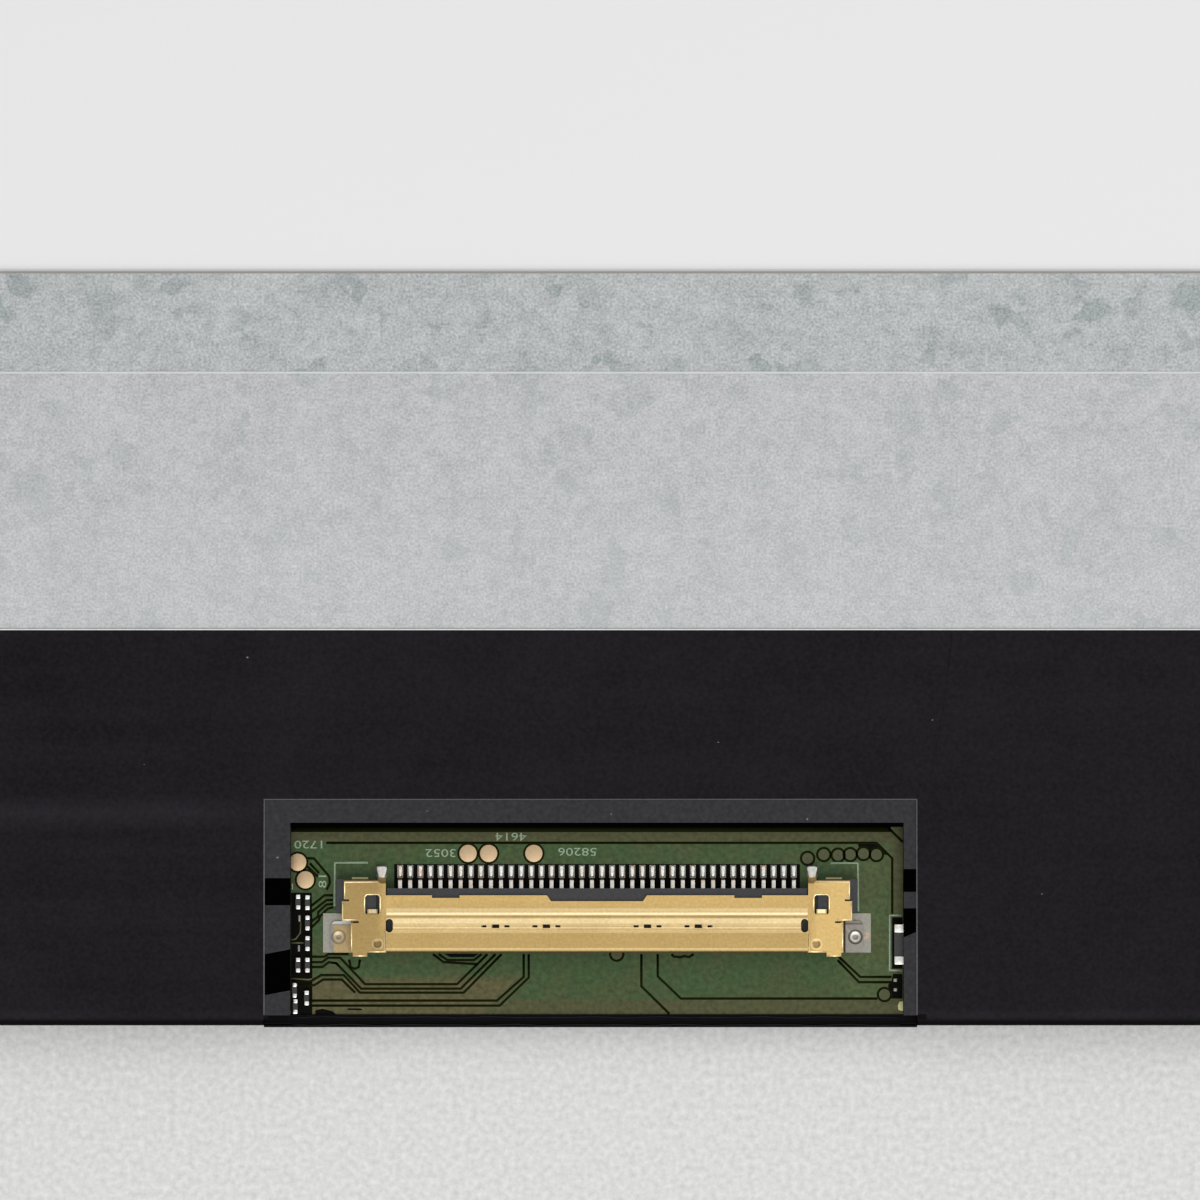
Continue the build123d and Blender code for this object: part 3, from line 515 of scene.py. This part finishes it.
nodeFinishes = {
    "polariser": ("front_polariser", "rear_polariser"),
    "glass": ("colour_filter_glass", "array_glass"),
    "tape": ("cell_rim_tape", "edge_tape", "cover_tape", "front_tape"),
    "frame": ("mould_frame",),
    "optical": ("upper_prism_sheet", "lower_prism_sheet", "diffuser_sheet"),
    "guide": ("light_guide_plate",),
    "sheet": ("reflector_sheet",),
    "diode": ("light_diodes",),
    "flex": ("light_flex", "board_flexes"),
    "steel": ("rear_steel_plate",),
    "clear": ("clear_tape",),
    "film": ("window_film",),
    "foamAndShade": ("window_gasket",),
    "board": ("circuit_board",),
    "silicon": ("driver_chips",),
    "gilt": ("connector_shell",),
    "housing": ("connector_housing", "tail_socket"),
    "contact": ("connector_contacts",),
    "padTin": ("solder_pads",),
    "tin": ("capacitor_terminals", "resistor_terminals", "fuse_terminals"),
    "copper": ("test_pads",),
    "chip": ("timing_controller", "power_manager", "backlight_driver", "settings_memory", "resistor_bodies",
             "fuse_body"),
    "ferrite": ("inductors",),
    "ceramic": ("capacitor_bodies",),
}


def dress(piece, finish):
    if not piece.material_slots:
        piece.data.materials.append(None)
    for slot in piece.material_slots:
        slot.material = finishes[finish].material


for finishName, members in nodeFinishes.items():
    for nodeName in members:
        dress(nodes[nodeName], finishName)
print("finishes made:", len(finishes))


# Modelling helpers

def clearSelection():
    bpy.ops.object.select_all(action="DESELECT")


def choose(*pieces):
    clearSelection()
    for piece in pieces:
        piece.select_set(True)
    bpy.context.view_layer.objects.active = pieces[0]


def selectFaces(piece, wanted):
    bpy.ops.object.mode_set(mode="EDIT")
    bpy.ops.mesh.select_mode(type="FACE")
    bpy.ops.mesh.select_all(action="DESELECT")
    bpy.ops.object.mode_set(mode="OBJECT")
    for face in piece.data.polygons:
        face.select = wanted(face)
    bpy.ops.object.mode_set(mode="EDIT")


def outward(piece):  # merges doubles and turns every face outwards
    choose(piece)
    bpy.ops.object.mode_set(mode="EDIT")
    bpy.ops.mesh.select_all(action="SELECT")
    bpy.ops.mesh.remove_doubles(threshold=mergeGap)
    bpy.ops.mesh.normals_make_consistent(inside=False)
    bpy.ops.object.mode_set(mode="OBJECT")


def joined(pieces):
    choose(*pieces)
    if len(pieces) > 1:
        bpy.ops.object.join()
    return bpy.context.object


def keep(piece, name, finish, slot, *replaced):
    piece.name = name
    piece.data.name = name
    dress(piece, finish)
    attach(piece, "root")
    if replaced:
        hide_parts(*replaced)


def copied(piece, shift):
    twin = bpy.data.objects.new(piece.name, piece.data.copy())
    bpy.context.collection.objects.link(twin)
    twin.location = shift
    choose(twin)
    bpy.ops.object.transform_apply(location=True, rotation=False, scale=False)
    return twin


sharpAngle = 32  # edges sharper than this are broken
flatAngle = 1.5  # faces nearer to one plane than this become one
bevelFlat = 100  # how firmly the flats keep flat


def roundedCopy(nodeName, radius, segments=2, smooth=None):  # a CAD piece with its edges broken
    piece = bpy.data.objects.new(nodeName + "_rounded", nodes[nodeName].data.copy())
    bpy.context.collection.objects.link(piece)
    choose(piece)
    bpy.ops.object.mode_set(mode="EDIT")
    bpy.ops.mesh.select_all(action="SELECT")
    bpy.ops.mesh.remove_doubles(threshold=mergeGap)
    bpy.ops.mesh.dissolve_limited(angle_limit=math.radians(flatAngle))
    bpy.ops.object.mode_set(mode="OBJECT")
    bpy.ops.object.shade_smooth()
    softening = piece.modifiers.new("softening", "BEVEL")
    softening.width = radius * mm
    softening.segments = segments
    softening.limit_method = "ANGLE"
    softening.angle_limit = math.radians(sharpAngle)
    bpy.ops.object.modifier_apply(modifier=softening.name)
    if smooth:
        bpy.ops.object.shade_smooth_by_angle(angle=math.radians(smooth))
    else:
        levelling = piece.modifiers.new("levelling", "WEIGHTED_NORMAL")
        levelling.weight = bevelFlat
        bpy.ops.object.modifier_apply(modifier=levelling.name)
    return piece


def strokes(name, routes, width, height, level):  # flat lines along routes, as one piece
    clearSelection()
    section = bpy.data.curves.new(name + "Section", "CURVE")
    outline = section.splines.new("POLY")
    outline.points.add(3)
    corners = ((-width / 2, 0), (width / 2, 0), (width / 2, height), (-width / 2, height))
    for point, (across, up) in zip(outline.points, corners):
        point.co = (across * mm, up * mm, 0, 1)
    outline.use_cyclic_u = True
    sectionPiece = bpy.data.objects.new(name + "Section", section)
    bpy.context.collection.objects.link(sectionPiece)
    line = bpy.data.curves.new(name, "CURVE")
    line.dimensions = "3D"
    line.twist_mode = "Z_UP"
    line.bevel_mode = "OBJECT"
    line.bevel_object = sectionPiece
    line.use_fill_caps = True
    for route in routes:
        run = line.splines.new("POLY")
        run.points.add(len(route) - 1)
        for point, (across, up) in zip(run.points, route):
            point.co = (*spot(across, up, level), 1)
    piece = bpy.data.objects.new(name, line)
    bpy.context.collection.objects.link(piece)
    choose(piece)
    bpy.ops.object.convert(target="MESH")
    bpy.data.objects.remove(sectionPiece)
    piece = bpy.context.object
    outward(piece)
    return piece


def ringPiece(across, up, outer, inner, height, level):
    clearSelection()
    middle = spot(across, up, level + height * mm / 2)
    bpy.ops.mesh.primitive_cylinder_add(vertices=40, radius=outer * mm, depth=height * mm, location=middle)
    piece = bpy.context.object
    bpy.ops.object.transform_apply(location=True, rotation=False, scale=False)
    selectFaces(piece, lambda face: abs(face.normal.z) > 0.9)
    bpy.ops.mesh.inset(thickness=(outer - inner) * mm, use_individual=True)
    bpy.ops.mesh.bridge_edge_loops()
    bpy.ops.object.mode_set(mode="OBJECT")
    return piece


drop = {"topWidth": 0.72, "topLength": 0.86, "edge": 0.16}


def moundPiece(across, low, high, lowWidth, highWidth, height, level):  # a rounded, tapered drop of solder
    clearSelection()
    bpy.ops.mesh.primitive_cube_add(size=1)
    piece = bpy.context.object
    selectFaces(piece, lambda face: face.normal.y < -0.9)
    bpy.ops.transform.resize(value=(lowWidth / highWidth, 1, 1))
    selectFaces(piece, lambda face: face.normal.z > 0.9)
    bpy.ops.transform.resize(value=(drop["topWidth"], drop["topLength"], 1))
    bpy.ops.mesh.select_all(action="SELECT")
    bpy.ops.mesh.bevel(offset=drop["edge"], segments=3, affect="EDGES")
    bpy.ops.object.mode_set(mode="OBJECT")
    piece.scale = Vector((highWidth, high - low, height)) * mm
    piece.location = spot(across, (low + high) / 2, level + height * mm / 2)
    bpy.ops.object.transform_apply(location=True, rotation=False, scale=True)
    bpy.ops.object.shade_smooth()
    return piece


def platePiece(corners, height, level):  # a flat patch with straight sides
    clearSelection()
    bpy.ops.mesh.primitive_circle_add(vertices=len(corners), radius=mm, fill_type="NGON")
    piece = bpy.context.object
    for vertex, (across, up) in zip(piece.data.vertices, corners):
        vertex.co = spot(across, up, level)
    bpy.ops.object.mode_set(mode="EDIT")
    bpy.ops.mesh.select_all(action="SELECT")
    bpy.ops.mesh.extrude_region_move(TRANSFORM_OT_translate={"value": (0, 0, height * mm)})
    bpy.ops.object.mode_set(mode="OBJECT")
    outward(piece)
    return piece


def numberPiece(text, across, up, turn, inkLook, level):
    clearSelection()
    bpy.ops.object.text_add(location=spot(across, up, level), rotation=(0, 0, math.radians(turn)))
    label = bpy.context.object
    label.data.body = text
    label.data.size = inkLook["size"] * mm
    label.data.extrude = inkLook["thickness"] * mm / 2
    label.data.resolution_u = 3
    label.data.align_x = "CENTER"
    label.data.align_y = "CENTER"
    label.scale.x = inkLook["stretch"]
    bpy.ops.object.convert(target="MESH")
    bpy.ops.object.transform_apply(location=True, rotation=True, scale=True)
    return bpy.context.object


# Connector: the stamped shell, its housing and contacts with broken edges

edges = {"shell": 0.03, "housing": 0.03, "contacts": 0.03, "testPads": 0.012, "chips": 0.045, "film": 0.01}
shellSmooth = 12  # degrees between faces that still shade as one

keep(roundedCopy("connector_shell", edges["shell"], 3, shellSmooth), "stamped_shell", "gilt", "gilt_metal",
     "connector_shell")
keep(roundedCopy("connector_housing", edges["housing"]), "moulded_housing", "housing", "black_plastic",
     "connector_housing")
keep(roundedCopy("connector_contacts", edges["contacts"]), "formed_contacts", "contact", "tinned_metal",
     "connector_contacts")
keep(roundedCopy("test_pads", edges["testPads"]), "flat_test_pads", "copper", "bare_copper", "test_pads")
for nodeName, pieceName in (("resistor_terminals", "resistor_ends"), ("fuse_terminals", "fuse_ends")):
    keep(roundedCopy(nodeName, edges["chips"], 3), pieceName, "tin", "tinned_metal", nodeName)

# raised burrs along the ears' edges, made bright as painted highlights
burrHighlights = {
    "earHeight": 0.8,  # the flat of the shell's ears over the board
    "width": 0.06,
    "height": 0.008,
    "routes": (  # right ear, mirrored to the left
        ((10.86, 7.18), (12.46, 7.18), (12.48, 7.14), (12.48, 6.36)),
        ((12.58, 6.18), (12.58, 5.32), (11.86, 5.32)),
        ((12.14, 5.1), (12.14, 3.8)),
        ((11.35, 3.74), (10.49, 3.74), (10.49, 4.62)),
        ((12.06, 3.54), (11.4, 3.54)),
        ((10.72, 5.68), (10.72, 6.44), (10.82, 6.58), (11.4, 6.58), (11.5, 6.44), (11.5, 5.68)),
    ),
}


def bothSides(routes):
    return [[(side * across, up) for across, up in route] for side in (-1, 1) for route in routes]


earTop = boardBack + burrHighlights["earHeight"] * mm
burrHighlightLines = strokes("ear_burr_highlights", bothSides(burrHighlights["routes"]), burrHighlights["width"], burrHighlights["height"], earTop)
keep(burrHighlightLines, "ear_burr_highlights", "burrHighlight", "gilt_metal")
print("connector rounded")

# Solder on the contacts' toes and on the shell's two legs

solder = {
    "count": 40,
    "pitch": 0.5,
    "toe": (7.41, 8.02),
    "toeWidths": (0.17, 0.27),
    "toeHeight": 0.19,
    "leg": (7.24, 8.02),
    "legAcross": 10.66,
    "legWidths": (0.4, 0.72),
    "legHeight": 0.32,
}
firstToe = moundPiece(0, *solder["toe"], *solder["toeWidths"], solder["toeHeight"], boardBack)
toes = []
for i in range(solder["count"]):
    shift = (i - (solder["count"] - 1) / 2) * solder["pitch"] * mm
    toes.append(copied(firstToe, Vector((shift, 0, 0))))
bpy.data.objects.remove(firstToe)
keep(joined(toes), "contact_solder", "tin", "tinned_metal")
legs = []
for side in (-1, 1):
    legs.append(moundPiece(side * solder["legAcross"], *solder["leg"], *solder["legWidths"],
                           solder["legHeight"], boardBack))
keep(joined(legs), "leg_solder", "legTin", "tinned_metal")
print("solder placed")

# Board: etched gaps between the copper, the bare patches, via rings, pad rings and print

gaps = {
    "width": 0.125,
    "height": 0.006,
    "routes": (
        ((-13.42, 9.13), (13.86, 9.13), (14.63, 8.36), (14.63, 5.62)),
        ((14.46, 9.86), (15.15, 9.17)),
        ((-14.40, 8.37), (-14.03, 8.36), (-13.27, 7.47), (-13.24, 7.13), (-13.40, 6.80)),
        ((-14.23, 8.12), (-13.77, 7.63)),
        ((-14.36, 7.96), (-13.83, 7.46)),
        ((-13.07, 6.53), (-13.50, 6.53), (-14.16, 6.00)),
        ((-13.07, 6.30), (-13.40, 6.29), (-14.20, 5.67)),
        ((-13.07, 6.10), (-13.40, 6.07), (-13.80, 5.71), (-13.83, 5.48), (-14.23, 5.17)),
        ((-13.07, 5.94), (-13.34, 5.87), (-13.73, 5.48), (-13.77, 5.31), (-14.13, 4.95)),
        ((-14.33, 3.49), (-13.50, 3.49), (-13.30, 3.62), (-12.30, 3.62)),
        ((-14.20, 3.22), (-13.62, 3.22), (-13.32, 3.44), (-12.72, 3.44), (-11.49, 2.13), (-6.93, 2.13),
         (-5.42, 3.62)),
        ((-14.20, 2.98), (-13.60, 2.98), (-13.28, 3.22), (-12.92, 3.17), (-11.68, 1.91), (-6.75, 1.91),
         (-5.02, 3.62)),
        ((-14.96, 2.32), (-14.10, 2.32), (-13.66, 2.58), (-12.54, 2.58), (-11.74, 1.71), (-6.60, 1.71),
         (-4.72, 3.62)),
        ((-14.96, 2.08), (-14.00, 2.08), (-13.56, 2.36), (-12.64, 2.36), (-11.98, 1.71)),
        ((-14.26, 1.32), (-4.95, 1.32), (-3.63, 2.49), (-3.63, 3.62)),
        ((-14.26, 1.07), (-4.82, 1.07), (-3.38, 2.46), (-3.38, 3.62)),
        ((-8.13, 3.62), (-7.60, 3.22), (-5.92, 3.12)),
        ((-7.84, 3.62), (-7.41, 3.32), (-6.08, 3.32), (-5.71, 3.62)),
        ((2.20, 3.62), (2.20, 2.03), (3.59, 0.66)),
        ((3.01, 3.62), (3.01, 2.52), (4.16, 1.42), (13.90, 1.42)),
        ((11.98, 3.49), (13.04, 2.49), (14.60, 2.49)),
        ((11.92, 3.32), (12.98, 2.23), (14.60, 2.23)),
        ((-12.28, 3.35), (-12.20, 2.98), (-12.00, 2.89), (-11.80, 2.98), (-11.74, 3.35)),
        ((3.69, 3.62), (3.80, 3.50), (4.10, 3.46), (4.34, 3.52), (4.56, 3.47), (4.79, 3.62)),
    ),
    "broadWidth": 0.27,
    "broadRoutes": (((-15.16, 9.80), (14.56, 9.80)),),
}
gapPieces = [
    strokes("etched_gaps", gaps["routes"], gaps["width"], gaps["height"], boardBack),
    strokes("broad_gaps", gaps["broadRoutes"], gaps["broadWidth"], gaps["height"], boardBack),
]
keep(joined(gapPieces), "etched_gaps", "etched", "solder_mask")

traces = {
    "width": 0.07,
    "height": 0.008,
    "lift": 0.004,
    "routes": (
        ((-14.68, 5.24), (-14.70, 4.68), (-14.92, 4.37), (-15.15, 4.33)),
        ((-15.15, 4.18), (-14.52, 4.18)),
        ((-15.15, 2.42), (-14.30, 2.36), (-14.12, 2.40)),
        ((-14.12, 1.20), (-13.90, 1.20)),
    ),
}
keep(strokes("masked_traces", traces["routes"], traces["width"], traces["height"],
             boardBack + traces["lift"] * mm),
     "masked_traces", "bareTrace", "solder_mask")

patches = {
    "height": 0.004,
    "shapes": (
        # between the contacts' toes: dark board with painted shade
        ((-10.05, 6.86), (10.06, 6.86), (10.06, 8.08), (-10.05, 8.08)),
        ((-15.16, 0.62), (-14.10, 0.62), (-14.10, 5.40), (-14.14, 6.66), (-15.16, 6.66)),
        ((14.52, 1.42), (15.14, 1.42), (15.14, 2.64), (14.66, 2.64), (14.60, 2.30), (14.42, 2.10)),
        ((12.90, 9.14), (13.90, 9.14), (14.50, 8.52), (13.86, 8.58), (13.00, 8.86)),
        ((-13.95, 0.62), (-12.90, 0.62), (-13.10, 0.80), (-13.60, 0.92), (-13.95, 0.84)),
        ((-12.40, 0.86), (-11.60, 0.84), (-11.70, 0.93), (-12.30, 0.94)),
        ((14.62, 2.90), (15.14, 2.90), (15.14, 5.44), (14.62, 5.44)),
        ((-7.58, 3.64), (-7.28, 3.47), (-6.10, 3.47), (-5.86, 3.64)),
    ),
}
darkPatches = [platePiece(shape, patches["height"], boardBack) for shape in patches["shapes"]]
keep(joined(darkPatches), "dark_patches", "maskAndShade", "solder_mask")

rings = {
    "height": 0.008,
    "via": (0.385, 0.27),
    "vias": ((10.44, 8.36), (11.24, 8.55), (11.95, 8.52), (12.55, 8.55), (13.21, 8.60), (13.85, 8.55),
             (14.24, 1.62), (0.98, 3.62)),
    "capHole": 0.05,
    "capHeight": 0.006,
    "capOnly": (-13.03, 2.96),
    "pad": (0.53, 0.40),
    "pads": ((-14.83, 8.17), (-14.45, 7.30), (-6.39, 8.61), (-5.37, 8.61), (-3.13, 8.61)),
}
ringPieces = [ringPiece(*place, *rings["via"], rings["height"], boardBack) for place in rings["vias"]]
ringPieces += [ringPiece(*place, *rings["pad"], rings["height"], boardBack) for place in rings["pads"]]
keep(joined(ringPieces), "bare_rings", "etched", "solder_mask")
capPieces = [ringPiece(*place, rings["via"][1], rings["capHole"], rings["capHeight"], boardBack)
             for place in (*rings["vias"], rings["capOnly"])]
keep(joined(capPieces), "via_caps", "viaMask", "solder_mask")

ink = {
    "width": 0.11,
    "height": 0.01,
    "lines": (
        ((-11.34, 8.15), (-13.00, 8.15), (-13.00, 5.99)),
        ((11.58, 8.13), (12.94, 8.13), (12.94, 5.74)),
        ((15.12, 5.54), (14.50, 5.54), (14.50, 2.82), (15.12, 2.82)),
    ),
    "numbers": (("1720", -14.24, 9.07, 180), ("3052", -7.74, 8.65, 180), ("4614", -4.27, 9.46, 180),
                ("58206", -0.97, 8.71, 180), ("81", -13.58, 7.28, 90)),
    "size": 0.56,
    "stretch": 1.4,
    "thickness": 0.008,
    "numberLift": 0.006,
}
inkPieces = [strokes("board_lines", ink["lines"], ink["width"], ink["height"], boardBack)]
for text, across, up, turn in ink["numbers"]:
    inkPieces.append(numberPiece(text, across, up, turn, ink, boardBack + ink["numberLift"] * mm))
keep(joined(inkPieces), "board_print", "ink", "solder_mask")

loosePads = {
    "dots": ((14.78, 2.33, 0.22, 0.17), (14.78, 1.86, 0.22, 0.17), (-14.74, 5.39, 0.13, 0.34),
             (-14.77, 3.91, 0.13, 0.34), (-15.10, 6.98, 0.1, 0.34)),
    "height": 0.07,
}
dotPieces = []
for across, up, width, length in loosePads["dots"]:
    dotPieces.append(moundPiece(across, up - length / 2, up + length / 2, width, width, loosePads["height"],
                                boardBack))
keep(joined(dotPieces), "loose_solder", "padTin", "tinned_metal")

bareStrips = {
    "height": 0.01,
    "shapes": (
        ((-12.14, 7.28), (-11.34, 7.28), (-11.34, 7.43), (-12.14, 7.43)),
        ((11.34, 7.28), (12.14, 7.28), (12.14, 7.42), (11.34, 7.42)),
        ((14.94, 0.86), (15.16, 0.80), (15.16, 1.28), (14.98, 1.26), (14.90, 1.06)),
    ),
}
stripPieces = [platePiece(shape, bareStrips["height"], boardBack) for shape in bareStrips["shapes"]]
keep(joined(stripPieces), "bare_strips", "paleCopper", "solder_mask")
print("board drawn")

# Tape: the cut rim round the window with a painted highlight, a pale line along the top edge, the folded
# lip's ripples and a crease

# the tape's cut edge round the window, a raised line made light grey as a painted highlight
highlightRim = {"left": -16.47, "right": 15.83, "top": 11.28, "foot": 0.62, "width": 0.09, "height": 0.06}
rimRoute = ((highlightRim["left"], highlightRim["foot"]), (highlightRim["left"], highlightRim["top"]), (highlightRim["right"], highlightRim["top"]),
            (highlightRim["right"], highlightRim["foot"]))
keep(strokes("window_rim_highlight", (rimRoute,), highlightRim["width"], highlightRim["height"], filmBack), "window_rim_highlight", "cutEdgeHighlight",
     "dark_film")

# a pale line along the tape's top edge, just above the clear tape
cutLine = {"width": 0.06, "height": 0.03}
lineUp = (coverHigh.y - lowerEdge) / mm + cutLine["width"] / 2
lineEnds = tuple(((end - connectorX) / mm, lineUp) for end in (coverLow.x, coverHigh.x))
keep(strokes("tape_cut_line", (lineEnds,), cutLine["width"], cutLine["height"], clearHigh.z), "tape_cut_line",
     "paleEdge", "clear_film")

ripples = {
    "ups": (0.12, 0.5),
    "swing": 0.035,
    "steps": 60,
    "width": 0.06,
    "height": 0.03,
    "wave": 1.9,
    "slowWave": 0.4,
    "start": 1.4,  # from the window's left edge
    "short": 2.2,  # how much shorter than the window
    "lipHeight": 0.08,
}
rippleRoutes = []
for row, up in enumerate(ripples["ups"]):
    route = []
    for i in range(ripples["steps"] + 1):
        length = highlightRim["right"] - highlightRim["left"] - ripples["short"]
        across = highlightRim["left"] + ripples["start"] + length * i / ripples["steps"]
        swell = math.sin(across * ripples["wave"] + row * 2) * math.sin(across * ripples["slowWave"] + row)
        route.append((across, up + ripples["swing"] * swell))
    rippleRoutes.append(route)
lipTop = boardBack + ripples["lipHeight"] * mm
rippleLines = strokes("lip_ripples", rippleRoutes, ripples["width"], ripples["height"], lipTop)
keep(rippleLines, "lip_ripples", "lipFold", "black_tape")

crease = {
    "routes": (((17.57, 19.5), (17.3, 16.9), (16.9, 14.4), (16.49, 12.3)),),
    "width": 0.035,
    "height": 0.008,
}
keep(strokes("tape_crease", crease["routes"], crease["width"], crease["height"], coverHigh.z), "tape_crease",
     "lipFold", "black_tape")

# Clear tape, standing a hair off the steel so the two don't share a face
hair = 0.003
clearSheet = roundedCopy("clear_tape", edges["film"])
choose(clearSheet)
for vertex in clearSheet.data.vertices:
    if vertex.co.z < steelBack + hair * mm:
        vertex.co.z = steelBack + hair * mm
keep(clearSheet, "clear_sheet", "clear", "clear_film", "clear_tape")

lint = {
    "tape": ((-17.3, 18.3, 0.06), (6.0, 14.1, 0.035), (16.6, 15.2, 0.04), (-22.4, 13.0, 0.03),
             (22.0, 6.6, 0.035)),
    "film": ((0.7, 10.55, 0.06), (10.4, 10.3, 0.07), (-8.4, 10.7, 0.05), (-15.8, 8.4, 0.05)),
}
lintPieces = []
for group, level in (("tape", coverHigh.z), ("film", filmBack)):
    for across, up, size in lint[group]:
        clearSelection()
        bpy.ops.mesh.primitive_ico_sphere_add(subdivisions=1, radius=size * mm)
        bpy.ops.transform.resize(value=(random.uniform(0.7, 1.6), random.uniform(0.5, 1.1), 0.3))
        bpy.ops.transform.translate(value=spot(across, up, level + size * mm * 0.1))
        bpy.ops.object.transform_apply(location=True, rotation=True, scale=True)
        lintPieces.append(bpy.context.object)
keep(joined(lintPieces), "lint_specks", "lint", "black_tape")
print("tape detailed")

# Floor, light and camera

stand = {"floorSize": 6.0, "drop": 0.02}
clearSelection()
bpy.ops.mesh.primitive_plane_add(size=stand["floorSize"], location=(0, 0, -stand["drop"] * mm))
floor = bpy.context.object
floor.name = "floor"
bpy.ops.object.transform_apply(location=True, rotation=False, scale=False)
floor.data.materials.append(floorFinish().material)

light = {
    "ambient": 0.66,
    "seen": 1.0,
    "key": (3.0, 0.5, 0.7, 42, -80),  # power, size, distance, tilt and turn
    "back": (0.4, 0.4, 0.8, 37, 90),
    "side": (0.6, 0.4, 0.8, 58, 10),
}
world = bpy.data.worlds.new("studio")
scene.world = world
world.use_nodes = True
sky = Tree(world.node_tree)
path = sky.node("LightPath", {}, {}, "Is Camera Ray")
seen = path | path.other("Is Glossy Ray") | path.other("Is Transmission Ray")
strength = light["ambient"] + (light["seen"] - light["ambient"]) * seen
sky.node("OutputWorld", {}, {"Surface": sky.node("Background", {}, {"Strength": strength})})

view = {"middle": (0.15, 21.14), "lens": 270, "frameWidth": 59.4, "sensor": 36, "tilt": 2.0, "near": 0.01}
aim = spot(*view["middle"], coverHigh.z)


def lamp(name, power, size, far, tilt, turn):  # a square soft box aimed at the picture's middle
    lean = math.radians(tilt)
    swing = math.radians(turn)
    way = Vector((math.sin(lean) * math.cos(swing), math.sin(lean) * math.sin(swing), math.cos(lean)))
    bpy.ops.object.light_add(type="AREA", location=aim + way * far)
    box = bpy.context.object
    box.name = name
    box.data.energy = power
    box.data.size = size
    box.rotation_euler = way.to_track_quat("Z", "Y").to_euler()


for lampName in ("key", "back", "side"):
    lamp(lampName, *light[lampName])

far = view["lens"] * view["frameWidth"] * mm / view["sensor"]
tilt = math.radians(view["tilt"])
bpy.ops.object.camera_add(location=aim + Vector((0, -math.sin(tilt), math.cos(tilt))) * far,
                          rotation=(tilt, 0, 0))
camera = bpy.context.object
camera.data.lens = view["lens"]
camera.data.sensor_width = view["sensor"]
camera.data.clip_start = view["near"]
scene.camera = camera
print("stage set")
